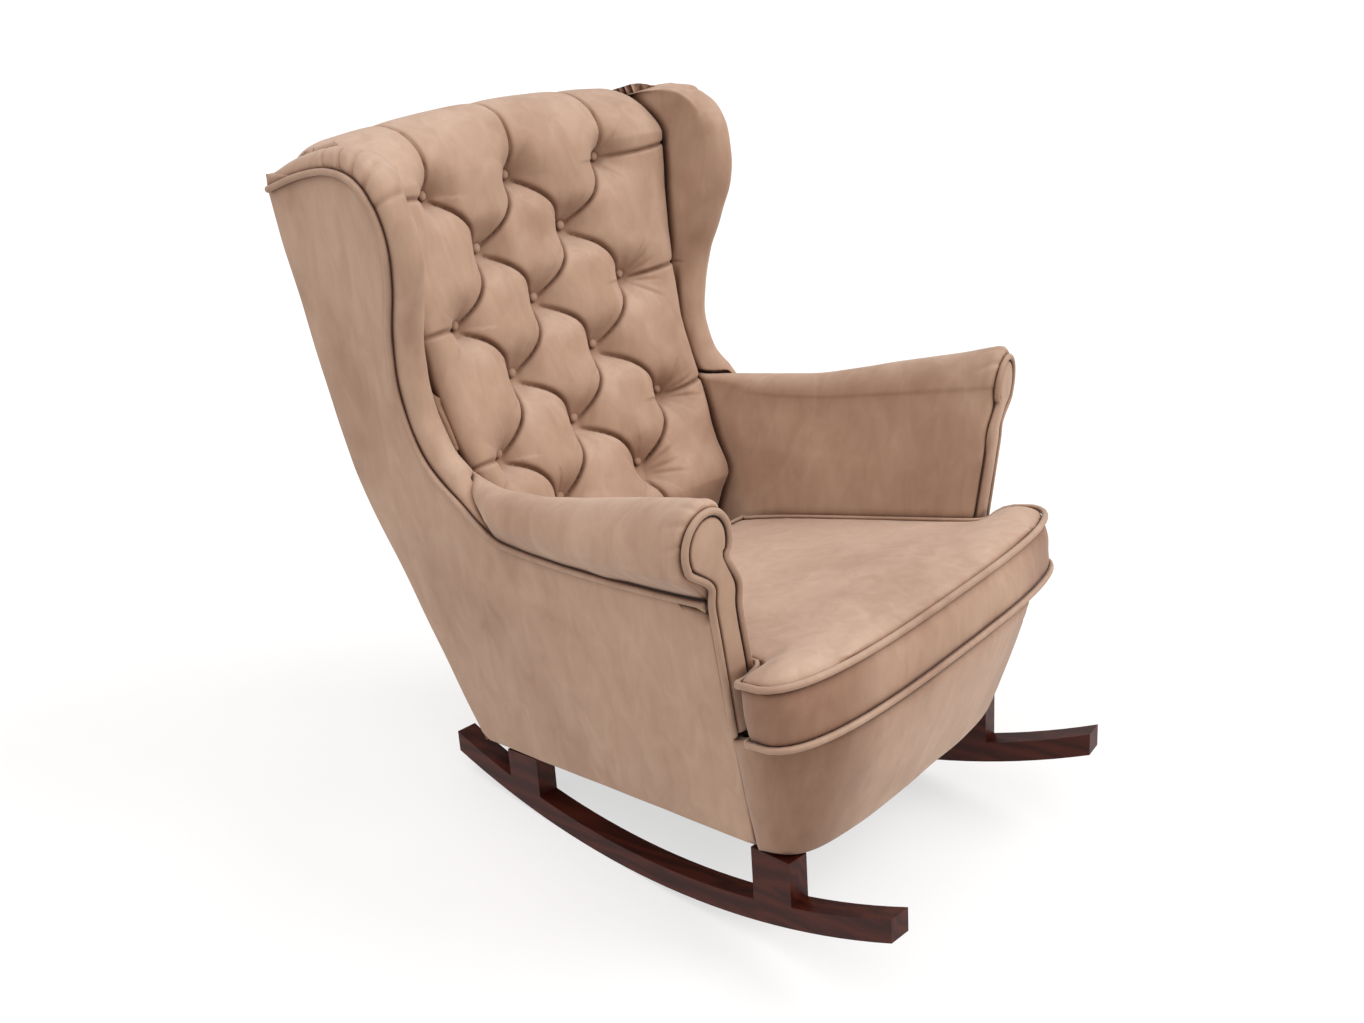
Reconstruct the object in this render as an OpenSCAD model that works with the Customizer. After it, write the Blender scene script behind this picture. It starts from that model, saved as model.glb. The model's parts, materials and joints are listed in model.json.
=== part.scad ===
// Wingback rocking chair: buttoned back, rolled arms, loose boxed seat cushion, bow rockers.
// Millimetres. The front of the chair faces -Y, +Z is up, X = 0 is the plane of symmetry.
// The origin is on the floor, under the centre of the overall box.
// The modules below draw the chair level, with its rockers' middle on the floor; at_rest() then leans it back
// to where the empty chair balances.
// Left and right are the sitter's: left is +X.

/* [Rockers and legs] */
// Radius of a rocker's underside
rocker_r = 1191.5; // [1100:0.5:1300]
// Thickness of a rocker, top to bottom
rocker_h = 31; // [26:1:38]
// Width of a rocker
rocker_w = 33; // [28:1:36]
// Rocker length in front of its lowest point
rocker_front = 443; // [420:1:450]
// Rocker length behind its lowest point
rocker_back = 379.5; // [340:0.5:400]
// Angle by which each rocker toes out
rocker_splay = 5.67; // [4:0.01:7]
// Half distance between the rockers' outer faces, at the lowest point
rocker_half = 236.9; // [230:0.1:240]
// Length of a leg along the rocker
leg_len = 64; // [56:1:70]
// Front leg centre in front of the rocker's lowest point
front_leg_s = 254; // [248:1:258]
// Rear leg centre behind the rocker's lowest point
rear_leg_s = 227.5; // [220:0.5:235]

/* [Balance] */
// Angle by which the empty chair leans back on its rockers
rest_tilt = 4.9; // [3:0.1:6]

/* [Body] */
// Y of the rockers' middle, which is their lowest point on the level chair
arc_y = -11; // [-20:1:0]
// Y of the outer back's rearmost point on the level chair
rear_end = 455; // [440:1:460]
// Height of the body's underside at Y = 0
base_z = 121; // [118:1:124]
// Fall of the underside towards the back
base_tilt = 3.6; // [3:0.1:4]
// Thickness of an outer fabric panel with its wadding
skin_t = 5; // [4:1:6]
// Thickness of the side frames
side_t = 20; // [18:1:22]
// Thickness of an arm or wing, outer face to inner face
arm_t = 47; // [44:1:50]
// Thickness of the padded apron
apron_t = 12; // [10:1:14]

/* [Seat] */
// Fall of the seat towards the back
seat_tilt = 7.5; // [6:0.5:9]
// Height of the cushion's lower front edge
seat_z = 333; // [328:1:338]
// Y of the cushion's front edge
seat_front_y = -392; // [-398:1:-385]
// Height of the cushion's border
border_h = 84; // [78:1:90]
// Rise of the cushion's crown above its top edge
crown_h = 12; // [6:1:18]
// Half width of the cushion's front lobes
lobe_half = 328; // [320:1:332]
// Thickness of the deck pad under the cushion
deck_t = 20; // [14:1:22]

/* [Back] */
// Distance between buttons in a row
button_dx = 174.6; // [160:0.2:180]
// Distance between rows of buttons, up the back
button_dz = 87.6; // [84:0.2:90]
// Height of the lowest row of buttons
button_z = 468; // [460:1:476]
// Radius of a covered button
button_r = 9; // [8:0.5:13]
// Pillow height in front of the buttons
tuft_h = 36; // [28:1:40]

/* [Trim] */
// Radius of the piping cord
welt_r = 4.5; // [3.5:0.5:5.5]

/* [Hidden] */
$fn = 64;
gap = 0.3;          // between pieces that touch
fabric_col = "#C4A391";
wadding_col = "#E4DDD2";
timber_col = "#C9A36B";
walnut_col = "#4A2416";
steel_col = "#8E9196";

// Y on the leaning chair of a point on the level chair
function leaning_y(y, z) = arc_y + (y - arc_y) * cos(rest_tilt) + (z - rocker_r) * sin(rest_tilt);
// The front tip of a rocker and the back's rear end set the overall depth
tip_y = arc_y - rocker_front * cos(rocker_splay) - rocker_w * sin(rocker_splay);
tip_z = rocker_r - sqrt(pow(rocker_r, 2) - pow(rocker_front, 2));
centre_y = (leaning_y(tip_y, tip_z) + leaning_y(rear_end, 930)) / 2;
// Side panels: lean out by flare_lo below fold_z and flare_hi above it, and converge to the back
fold_z = 500;
flare_lo = 0.215;
flare_hi = 0.12;
converge = 0.087;
function side_x(y, z) =
    262 + flare_lo * (min(z, fold_z) - 136) + flare_hi * max(z - fold_z, 0) - converge * (y + 246);
// Underside of the body
function under_z(y) = base_z - y * tan(base_tilt);
// Plane of the cushion's lower edge
function seat_plane(y) = seat_z - (y - seat_front_y) * tan(seat_tilt);
// Straight interpolation in a list of [key, value] pairs
function along(k, t) = lookup(k, t);

// Rear face of the body, as [z, y]
REAR = [[100, rear_end - 155], [274, rear_end - 113], [406, rear_end - 79], [538, rear_end - 42],
        [784, rear_end - 13], [930, rear_end], [975, rear_end - 4]];
function rear_y(z) = along(z, REAR);
// Front edge of the outer wing panel, as [z, y]
WING_EDGE = [[500, 130], [529, 172], [585, 237], [669, 261], [753, 251], [825, 226], [880, 216], [925, 225],
             [958, 253], [968, 302]];
function wing_edge_y(z) = along(z, WING_EDGE);
// Depth of the buttons at the centre of the back, as [z, y]
BUTTON_DEPTH = [[300, 120], [400, 178], [468, 221], [555, 258], [643, 292], [731, 317], [818, 337],
    [906, 351],
                [960, 360]];
// The back is hollow: its sides stand forward of its centre
function button_y(x, z) = along(z, BUTTON_DEPTH) - 16 * pow(x / button_dx, 2);
// Half width of the back pad, and the foot of its front face
function back_half(z) = 205 + 0.1446 * (z - 300);
foot_y = 126;
// Rear face of the back pad, where the webbing backs it
pad_t = 12;
function pad_rear(z) = button_y(0, max(z, 400)) + pad_t - 0.3 * max(400 - z, 0);

// ---------------------------------------------------------------- helpers

function turn_area(a, b, c) = (b.x - a.x) * (c.y - a.y) - (b.y - a.y) * (c.x - a.x);
function in_triangle(p, a, b, c) =
    turn_area(a, b, p) >= 0 && turn_area(b, c, p) >= 0 && turn_area(c, a, p) >= 0;

// Triangles that fill a flat polygon, cut off one corner at a time; ids run anticlockwise
function ears(pts, ids) = len(ids) < 4 ? [ids] :
    let (n = len(ids),
         cuts = [for (i = [0 : n - 1]) let (a = ids[(i + n - 1) % n], b = ids[i], c = ids[(i + 1) % n])
             if (turn_area(pts[a], pts[b], pts[c]) > 0.001 && len([for (q = ids)
                 if (q != a && q != b && q != c && in_triangle(pts[q], pts[a], pts[b], pts[c])) q]) == 0) i],
         i = len(cuts) > 0 ? cuts[0] : 0)
    concat([[ids[(i + n - 1) % n], ids[i], ids[(i + 1) % n]]],
        ears(pts, [for (k = [0 : n - 1]) if (k != i) ids[k]]));

// Triangles of a flat ring in space, turning the same way as the ring
function fill(ring) =
    let (n = len(ring), sum = [for (i = [0 : n - 1]) cross(ring[i] - ring[0], ring[(i + 1) % n] - ring[0])],
         normal = [for (k = [0 : 2]) [for (v = sum) v[k]] * [for (v = sum) 1]],
         big = max([for (v = normal) abs(v)]),
         k = abs(normal.z) == big ? 2 : abs(normal.y) == big ? 1 : 0,
         flip = normal[k] < 0,
         flat = [for (p = ring) k == 2 ? [p.x, p.y] : k == 1 ? [p.z, p.x] : [p.y, p.z]],
         ids = flip ? [for (i = [n - 1 : -1 : 0]) i] : [for (i = [0 : n - 1]) i])
    [for (t = ears(flat, ids)) flip ? [t[2], t[1], t[0]] : t];

// Closed solid through flat rings of equally many points
module loft(rings) {
    n = len(rings[0]);
    m = len(rings);
    walls = [for (i = [0 : m - 2], j = [0 : n - 1]) each [
        [i * n + j, (i + 1) * n + j, (i + 1) * n + (j + 1) % n],
        [i * n + j, (i + 1) * n + (j + 1) % n, i * n + (j + 1) % n]
    ]];
    first = fill(rings[0]);
    last = [for (t = fill(rings[m - 1])) [for (j = [2 : -1 : 0]) (m - 1) * n + t[j]]];
    polyhedron([for (r = rings) each r], concat(first, walls, last), convexity = 6);
}

// Round cord of radius r through the points of a path; normal is a direction that the path never takes
module sweep(path, r, normal, closed = false, sides = 8) {
    n = len(path);
    function dir(i) =
        let (a = path[closed ? (i + n - 1) % n : max(i - 1, 0)],
             b = path[closed ? (i + 1) % n : min(i + 1, n - 1)])
        (b - a) / norm(b - a);
    function ring(i) =
        let (d = dir(i), u0 = cross(d, normal), u = u0 / norm(u0), v = cross(u, d))
        [for (k = [0 : sides - 1]) path[i] + r * (cos(360 * k / sides) * u + sin(360 * k / sides) * v)];
    pts = [for (i = [0 : n - 1]) each ring(i)];
    last = closed ? n - 1 : n - 2;
    walls = [for (i = [0 : last], k = [0 : sides - 1]) let (
        a = i * sides + k, b = i * sides + (k + 1) % sides,
        c = ((i + 1) % n) * sides + (k + 1) % sides, d = ((i + 1) % n) * sides + k)
            each [[a, b, c], [a, c, d]]];
    ends = closed ? [] : [
        [for (k = [sides - 1 : -1 : 0]) k],
        [for (k = [0 : sides - 1]) (n - 1) * sides + k]
    ];
    polyhedron(pts, concat(walls, ends), convexity = 6);
}

// Slab parallel to the side panel: outline is [y, z] points on one side of fold_z
module side_slab(outline, from, to) {
    loft([
        [for (p = outline) [side_x(p.x, p.y) - from, p.x, p.y]],
        [for (p = outline) [side_x(p.x, p.y) - to, p.x, p.y]]
    ]);
}

// Leans the level chair back about its rockers' axis, and centres it on the origin
module at_rest() {
    translate([0, arc_y - centre_y, rocker_r])
        rotate([-rest_tilt, 0, 0]) translate([0, -arc_y, -rocker_r]) children();
}

module right_side() {
    mirror([1, 0, 0]) children();
}

// Rocker coordinates: x = 0 on its outer face, y = 0 at its lowest point, -y forward
module on_rocker() {
    translate([rocker_half, arc_y, 0]) rotate([0, 0, rocker_splay]) children();
}

module both_sides() {
    children();
    mirror([1, 0, 0]) children();
}

// Extrudes a [y, z] shape along x
module extrude_x(t) {
    rotate([90, 0, 90]) linear_extrude(t) children();
}

// Body coordinates: z = 0 on the tilted underside
module on_base() {
    translate([0, 0, base_z]) rotate([-base_tilt, 0, 0]) children();
}

// Seat coordinates: z = 0 on the plane under the cushion, y = 0 at its front edge
module on_seat() {
    translate([0, seat_front_y, seat_z]) rotate([-seat_tilt, 0, 0]) children();
}

// ---------------------------------------------------------------- rockers and legs

screw_r = 3.5;
bolt_r = 4;
screw_head_r = 7;
screw_pit = 8;
leg_s = [front_leg_s, -rear_leg_s];

// Holes up through the rocker: a pit for the head and a shank hole
module screw_holes() {
    for (s = leg_s) translate([-rocker_w / 2, -s, -1]) {
        cylinder(r = screw_r + 0.2, h = 200);
        cylinder(r = screw_head_r + 0.5, h = 1 + screw_pit + rocker_r - sqrt(pow(rocker_r, 2) - pow(s, 2)));
    }
}

module rocker() {
    color(walnut_col) on_rocker() difference() {
        translate([-rocker_w, 0, 0]) extrude_x(rocker_w) intersection() {
            translate([0, rocker_r]) difference() {
                circle(r = rocker_r, $fn = 360);
                circle(r = rocker_r - rocker_h, $fn = 360);
            }
            translate([-rocker_front, -1]) square([rocker_front + rocker_back, 200]);
        }
        screw_holes();
    }
}

module leg(s) {
    bolt_s = s > 0 ? s - 19 : s;
    bolt_x = s > 0 ? -24 : -18;
    color(walnut_col) difference() {
        on_rocker() difference() {
            translate([-rocker_w, 0, 0]) extrude_x(rocker_w) intersection() {
                translate([0, rocker_r]) circle(r = rocker_r - rocker_h - 0.05, $fn = 360);
                translate([-s - leg_len / 2, 0]) square([leg_len, 180]);
            }
            translate([-rocker_w / 2, -s, 0]) cylinder(r = screw_r + 0.2, h = 98 - abs(s) * 0.04);
            translate([bolt_x, -bolt_s, 83]) cylinder(r = bolt_r + 0.2, h = 80);
        }
        on_base() translate([-400, -600, 0]) cube([800, 1200, 200]);
        if (s > 0) translate([-400, -600, apron_z - gap]) cube([800, 1200, 200]);
    }
}

module rocker_screws() {
    color(steel_col) both_sides() on_rocker() for (s = leg_s) {
        head_z = rocker_r - sqrt(pow(rocker_r, 2) - pow(s, 2)) + screw_pit - 5;
        translate([-rocker_w / 2, -s, head_z]) {
            cylinder(r = screw_head_r, h = 4.8);
            cylinder(r = screw_r, h = 42);
        }
    }
}

module leg_bolts() {
    color(steel_col) both_sides() on_rocker() {
        translate([-24, -(front_leg_s - 19), 110]) cylinder(r = bolt_r, h = 66);
        translate([-18, rear_leg_s, 85]) cylinder(r = bolt_r, h = 52);
    }
}

// Blocks inside the front corners of the apron, which the front legs are bolted to
module corner_blocks() {
    color(timber_col) both_sides() difference() {
        translate([0, 0, apron_z]) linear_extrude(54) polygon([
            [188, -284], [208, -284], [238, -262], [241, -242.5], [188, -242.5]
        ]);
        on_rocker() translate([-24, -(front_leg_s - 19), 90]) cylinder(r = bolt_r + 0.2, h = 120);
    }
}

// ---------------------------------------------------------------- frame

frame_out = skin_t + gap;            // frame's outer face, in from the side panel
frame_in = frame_out + side_t;       // frame's inner face
rail_in = frame_out + 28;            // side rail's inner face
rail_h = 68;
board_t = 20;                        // thickness of the bow-front board

module side_rail() {
    y0 = -241;
    y1 = 248;
    color(timber_col) difference() {
        side_slab(
            [[y0, under_z(y0)], [y1, under_z(y1)], [y1, under_z(y1) + rail_h], [y0, under_z(y0) + rail_h]],
            frame_out, rail_in);
        on_rocker() translate([-18, rear_leg_s, 80]) cylinder(r = bolt_r + 0.2, h = 60);
    }
}

module arm_post() {
    color(timber_col) side_slab([[-221, 210], [-181, 210], [-202, 462], [-242, 462]], frame_out, frame_in);
}

module arm_rail() {
    color(timber_col) side_slab([[-242, 463], [228, 463], [228, 493], [-242, 493]], frame_out, frame_in);
}

// Back post: a rear and a front member that meet above fork_z; each member has a foot near the side rail
fork_z = 740;
member_d = 42;
function post_front(z) = pad_rear(z) + 4;
function post_back(z) = rear_y(z) - skin_t - gap;
module back_post() {
    module low(front, foot_z) {
        zs = [foot_z, 274, 406, fold_z];
        side_slab(
            concat([for (z = zs) [front(z), z]], [for (i = [3 : -1 : 0]) [front(zs[i]) + member_d, zs[i]]]),
            frame_out, frame_in);
    }
    color(timber_col) union() {
        low(function(z) post_back(z) - member_d, 106);
        low(function(z) post_front(z), 183);
        side_slab(concat([[post_back(fold_z), fold_z], [post_back(fold_z) - member_d, fold_z],
            [post_front(fork_z) + member_d, fork_z], [post_front(fold_z) + member_d, fold_z]],
            [for (z = [fold_z, 538, 660, 784, 880, 914]) [post_front(z), z]],
            [for (z = [914, 784, 538]) [post_back(z), z]]), frame_out, frame_in);
    }
}

// Plywood ear inside a wing
module wing_frame() {
    edge = [for (p = WING_EDGE) if (p.x > 500 && p.x < 940) [p.y + 12, p.x - 3]];
    back = [for (z = [914, 880, 784, 660, 538, 500]) [post_front(z) - gap, z]];
    color(timber_col)
        side_slab(concat([[150, 500]], edge, [[270, 952], [340, 952]], back), frame_out, frame_in - 2);
}

module cross_rail(y0, y1, z0, z1, inset) {
    x = min(side_x(y1, z0), side_x(y1, z1)) - inset;
    color(timber_col) translate([-x, y0, z0]) cube([2 * x, y1 - y0, z1 - z0]);
}

module front_rail() {
    cross_rail(-240, -214, 218, 278.5, frame_in + gap);
}

module rear_rail() {
    cross_rail(204, 230, 160, 222, rail_in + gap);
}

module top_rail() {
    cross_rail(rear_end - 47, rear_end - 20, 876, 914, frame_in + gap);
}

module lower_back_rail() {
    cross_rail(pad_rear(400) + 2, pad_rear(400) + 26, 345, 385, frame_in + gap);
}

// Bow-front outline at half width w, from y = back to y = front; inset moves it inwards
function bow(w, back, front, inset, z, square = 3.4, steps = 16) = [
    for (i = [0 : steps]) let (t = 180 * i / steps, c = cos(t), s = sin(t))
    [(w - inset) * sign(c) * pow(abs(c), 2 / square),
     back + (front + inset - back) * pow(abs(s), 2 / square) , z]
];
apron_back = -256;
apron_z = 131;          // lower edge of the apron, which rests on the front legs
function apron_half(z) = side_x(-250, z) - 1;
function apron_front(z) = -325 - (z - 130) * 0.335;
// Closed section of the bow at step i of its outline, between two insets; its top lies under the seat's plane
function bow_section(i, z0, drop, inset0, inset1) =
    let (y = bow(apron_half(300), apron_back, apron_front(300), 0, 300)[i].y, zs = [z0, seat_plane(y) - drop])
    concat([for (z = zs) bow(apron_half(z), apron_back, apron_front(z), inset0, z)[i]],
        [for (k = [1, 0]) bow(apron_half(zs[k]), apron_back, apron_front(zs[k]), inset1, zs[k])[i]]);

module front_apron() {
    color(fabric_col) loft([for (i = [0 : 16]) bow_section(i, apron_z, 7, 0, apron_t)]);
}

// Curved board behind the apron
module front_board() {
    color(timber_col) loft([for (i = [0 : 16]) bow_section(i, 200, 30, apron_t + 2.5, apron_t + board_t)]);
}

// Plywood ledge from the front rail to the bow-front board
module front_shelf() {
    color(timber_col) loft([for (z = [279, 288])
        bow(apron_half(279), -241, apron_front(279), apron_t + board_t + 3, z)]);
}

// ---------------------------------------------------------------- springs, webbing, deck

spring_n = 5;
spring_pitch = 86;
spring_y0 = -226;
spring_y1 = 216;
wire_r = 1.9;

// Sinuous spring: a snaking wire from the front rail to the rear rail
module seat_springs() {
    bends = 18;
    per_bend = 4;
    steps = bends * per_bend;
    zs = function(y) seat_plane(y) - deck_t - 6;
    color(steel_col) for (k = [0 : spring_n - 1])
        sweep([for (i = [0 : steps]) let (y = spring_y0 + 10 + (spring_y1 - spring_y0 - 20) * i / steps)
            [(k - (spring_n - 1) / 2) * spring_pitch + 20 * sin(180 * (i / per_bend + 0.5)), y, zs(y)]],
            wire_r, [0, 0, 1], sides = 6);
}

// Steel clips that hold the ends of the springs
module spring_clips() {
    color(steel_col) for (k = [0 : spring_n - 1], y = [spring_y0, spring_y1])
        translate([(k - (spring_n - 1) / 2) * spring_pitch - 26, y - 6, y < 0 ? 278.7 : 222.2])
            cube([52, 16, 3]);
}

module back_webbing() {
    w = 50;
    color("#6B5A45") for (z = [408, 484, 572, 660, 748, 834]) {
        slope = atan((pad_rear(z + w) - pad_rear(z)) / w);
        x = side_x(pad_rear(z), z) - frame_in;
        translate([-x, pad_rear(z) + 1, z]) rotate([-slope, 0, 0]) cube([2 * x, 2, w]);
    }
}

seat_in = arm_t + 13;   // cushion and deck sides, in from the side panel's plane
cushion_d = 499;        // depth of the cushion along the seat
lobe_d = 104;           // depth of its front lobes
seat_side_y = [-270, 0, 110];
function seat_side(i, z) = side_x(seat_side_y[i], seat_plane(seat_side_y[i]) + z) - seat_in;
function seat_local_y(y) = (y - seat_front_y) / cos(seat_tilt);

// Plan of the loose cushion at height z: lobes in front of the arms, then between them
function cushion_half(inset, z) =
    let (corner = 26, x2 = seat_side(2, z))
    [[lobe_half - 10 - inset, lobe_d - inset],
     [seat_side(0, z) - inset, lobe_d + 8 - inset],
     [seat_side(1, z) - inset, seat_local_y(0)],
     [x2 - inset, cushion_d - corner - inset],
     [x2 - corner - inset, cushion_d - inset]];
function cushion_ring(inset, z) =
    let (side = cushion_half(inset, z))
    concat(bow(lobe_half, lobe_d - 28, 0, inset, z, 3.0, 16),
        [for (p = side) [-p.x, p.y, z]],
        [for (i = [len(side) - 1 : -1 : 0]) [side[i].x, side[i].y, z]]);

module seat_cushion() {
    color(fabric_col) on_seat() loft([
        cushion_ring(10, 0.5), cushion_ring(3, 6), cushion_ring(0, border_h / 2),
        cushion_ring(3, border_h - 4),
        cushion_ring(26, border_h + 4), cushion_ring(80, border_h + crown_h)
    ]);
}

module cushion_welt(z) {
    color(fabric_col) on_seat()
        sweep(cushion_ring(-3.2, z), welt_r, [0, 0, 1], closed = true, sides = 6);
}

module cushion_top_welt() {
    cushion_welt(border_h);
}

module cushion_bottom_welt() {
    cushion_welt(8);
}

// Zip along the rear border of the cushion
module cushion_zip() {
    color("#8B6B5A") on_seat() translate([-150, cushion_d + 0.5, 34]) cube([300, 2.5, 12]);
}

// Deck pad: the springs' cover, which the cushion rests on
module seat_deck() {
    color(wadding_col) on_seat() loft([for (z = [-deck_t, -0.5]) concat(
        bow(272, 104, 30, 0, z),
        [for (p = [[-1, 0, 110], [-1, 2, 500], [1, 2, 500], [1, 0, 110]])
            [p.x * (seat_side(p.y, -deck_t) - 2), p.z, z]]
    )]);
}

module dust_cover() {
    color("#2B2624") on_base() translate([-178, -235, -1.8]) cube([356, 520, 1.5]);
}

// ---------------------------------------------------------------- back

// Section of the back pad at fraction f of its half width, from the foot up the front, over, and down behind
function back_section(f) =
    let (front = [for (z = [285, 370, 430, 520, 610, 700, 790, 880, 940]) [f * back_half(z),
             z < 400 ? foot_y : button_y(f * back_half(z), z) - tuft_h, z]],
         drop = 18 * f * f,
         top = [
             for (p = [[326, 968], [342, 990], [372, 1005], [405, 1004], [430, 990], [438, 965], [436, 932]])
             let (z = p.y - (p.y > 950 ? drop : 0)) [f * back_half(z), p.x - 16 * f * f * (438 - p.x) / 120, z]
         ],
         behind = [for (z = [906, 818, 731, 643, 555, 468, 400, 330]) [f * back_half(z), pad_rear(z), z]])
    concat(front, top, behind);

module back_pad() {
    color(fabric_col) difference() {
        loft([for (f = [-1, -0.75, -0.5, -0.25, 0, 0.25, 0.5, 0.75, 1]) back_section(f)]);
        at_buttons() rotate([90, 0, 0]) cylinder(r = button_r + 3, h = 80);
    }
}

// Places children at each button: rows of 3 and 2 in turn, facing the sitter
module at_buttons() {
    for (row = [0 : 5]) {
        n = row % 2 == 0 ? 2 : 3;
        z = button_z + row * button_dz;
        for (k = [0 : n - 1]) {
            x = (k - (n - 1) / 2) * button_dx;
            translate([x, button_y(x, z), z]) rotate([-16, 0, 0]) children();
        }
    }
}

module back_buttons() {
    color(fabric_col) at_buttons() rotate([90, 0, 0]) translate([0, 0, 0.5]) rotate_extrude() polygon(concat(
        [[0, 0], [button_r, 0], [button_r, 2]],
        [for (a = [15 : 15 : 90]) [button_r * cos(a), 2 + 5 * sin(a)]]
    ));
}

// ---------------------------------------------------------------- wings and arms

// Depth of the seam between wing and back, as [z, y]
SEAM = [[500, 205], [540, 224], [645, 262], [730, 287], [915, 314], [955, 325], [990, 345]];

// Rear end of the wing's top, which falls to the back, as [z, y]
WING_TOP = [[916, 450], [940, 438], [965, 410], [985, 372], [999, 340]];

function wing_ring(z, top) =
    let (e = min(wing_edge_y(min(z, 968)), 300) + (z > 968 ? (z - 968) * 1.2 : 0),
         bulge = min(z > 960 ? 10 : 26, (z - fold_z) * 0.45), s = side_x(e, z),
         rear = z < 915 ? pad_rear(z) + 0.5 : along(z, WING_TOP) - skin_t - 4,
         pocket = top ? frame_out : frame_in - 2 + gap)
    [
        [side_x(e, z) - frame_out, e - 2.4, z], [s - 1, e - 2.4 - 4 * bulge / 26, z],
        [s - 8, e - bulge * 0.75, z],
        [s - 24, e - bulge, z], [s - 42, e - bulge * 0.6, z], [s - arm_t - 4, e + 8, z],
        [back_half(z) + 1, along(min(z, 990), SEAM) - 2, z], [back_half(z) + 1, rear, z],
        [side_x(rear, z) - pocket, rear, z], [side_x(e + 6.5, z) - pocket, e + 6.5, z]
    ];

module wing_pad() {
    color(fabric_col) loft([
        for (z = [502, 529, 585, 627, 669, 711, 753, 790, 825, 880, 914.5]) wing_ring(z, false),
        wing_ring(916, false), wing_ring(940, false), wing_ring(959, false), wing_ring(961, true),
        wing_ring(975, true), wing_ring(990, true), wing_ring(998, true)
    ]);
}

// Top of the arm roll, and the line where it tucks in above the side panel
function roll_top(y) = 578 - 0.224 * y;
function roll_tuck(y) = along(y, [[-270, 512], [-170, 504], [-67, 498], [72, 498], [160, 506]]);

arm_end = 129;   // where the roll meets the wing; the arm's inner wall runs on behind it
function arm_ring(y) =
    let (rolled = y < arm_end + 0.5, k = (172 - y) / 434, s = side_x(y, fold_z),
         zt = rolled ? roll_top(y) : 499,
         zw = rolled ? roll_tuck(y) : 495, rx = rolled ? 27 + 15 * k : 12, rz = (zt - zw) * 0.44,
         xc = rolled ? s - 16 + 25 * k : s - frame_in - 13, zc = zt - rz, zb = seat_plane(y) - 18,
         front = max(0, min(1, (-y - 60) / 200)),
         flat = concat(
             [[side_x(y, zb) - frame_in - gap, zb], [side_x(y, zb) - arm_t, zb],
              [side_x(y, 400) - arm_t - 2, 400], [side_x(y, 470) - arm_t - 2, zw - 30]],
             [for (a = [190 : -30 : -50]) [xc + rx * cos(a), zc + rz * sin(a)]],
             [[rolled ? s : side_x(y, zw - 2) - frame_in - gap - 0.5, zw - 2],
              [side_x(y, zw - 3) - frame_in - gap, zw - 3]]))
    [for (p = flat) let (dy = front * ((p.x - s) * tan(facing_turn) + (facing_top - p.y) * facing_lean))
        [p.x - converge * max(dy, 0), y + dy, p.y]];

module arm_pad() {
    color(fabric_col)
        loft([for (y = [-260, -200, -140, -70, 0, 60, 105, arm_end, arm_end + 1, 185]) arm_ring(y)]);
}

// Ball-topped outline of an arm front, as [across, z]: across is 0 on the side panel's plane
facing_t = 8;
facing_low = 318;
function facing_outline(inset) = concat(
    [[-3 - inset, facing_low], [-3 - inset, 505]],
    [for (a = [-40 : 26 : 220]) let (s = 13 - side_dx(577))
        [s + (29 - inset) * cos(a), 580 + (37 - inset) * sin(a)]],
    [[-37 + inset, 505], [-38 + inset, facing_low]]
);
function side_dx(z) = flare_hi * (z - fold_z) - 4;

// Facing plane, in front of the arm: turned outwards a little, and leaning forward to its top
facing_turn = 10;
facing_lean = 0.09;
facing_top = 600;
function facing_point(p, out) =
    let (u = p.x + min(p.y - fold_z, 0) * flare_lo)
    [side_x(-262, fold_z) + u * cos(facing_turn) + out * sin(facing_turn),
     -263 + (facing_top - p.y) * facing_lean + u * sin(facing_turn) - out * cos(facing_turn), p.y];

module arm_facing() {
    color(fabric_col) loft([for (out = [0, facing_t]) [for (p = facing_outline(0)) facing_point(p, out)]]);
}

module facing_welt() {
    color(fabric_col)
        sweep([for (p = facing_outline(-welt_r - 3.8)) facing_point(p, 4)], welt_r, [0, 1, 0], sides = 6);
}

// ---------------------------------------------------------------- outer skins

module side_panel() {
    function back(z) = rear_y(z) - skin_t - gap;
    lo = concat(
        [[-241, under_z(-241) - 1], [-247, 314], [-243.5, 317], [-249, 420], [-252.5, 494]],
        [[124, 494], [130, fold_z]],
        [for (z = [fold_z, 406, 274, 104]) [back(z), z]]);
    hi = concat([for (p = WING_EDGE) [p.y, p.x]], [for (z = [932, 784, 538, fold_z]) [back(z), z]]);
    color(fabric_col) union() {
        side_slab(lo, 0, skin_t);
        side_slab(hi, 0, skin_t);
    }
}

module side_welt() {
    path = concat(
        [for (y = [-250, -170, -67, 72, 118]) [side_x(y, fold_z) + welt_r + gap, y, roll_tuck(y) - 8]],
        [for (p = concat([[512, 150]], [for (q = WING_EDGE) if (q.x > 510) q], [[958, 370], [936, 446]]))
            [side_x(p.y, p.x) + welt_r + gap, p.y, p.x]]);
    color(fabric_col) sweep(path, welt_r, [1, 0, 0], sides = 6);
}

module outer_back_panel() {
    color(fabric_col) loft([for (z = [104, 274, 406, fold_z, 538, 784, 930, 955])
        let (y = rear_y(z), x = side_x(y, z))
        [[-x, y, z], [-x + 3, y - skin_t, z], [x - 3, y - skin_t, z], [x, y, z]]]);
}

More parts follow.
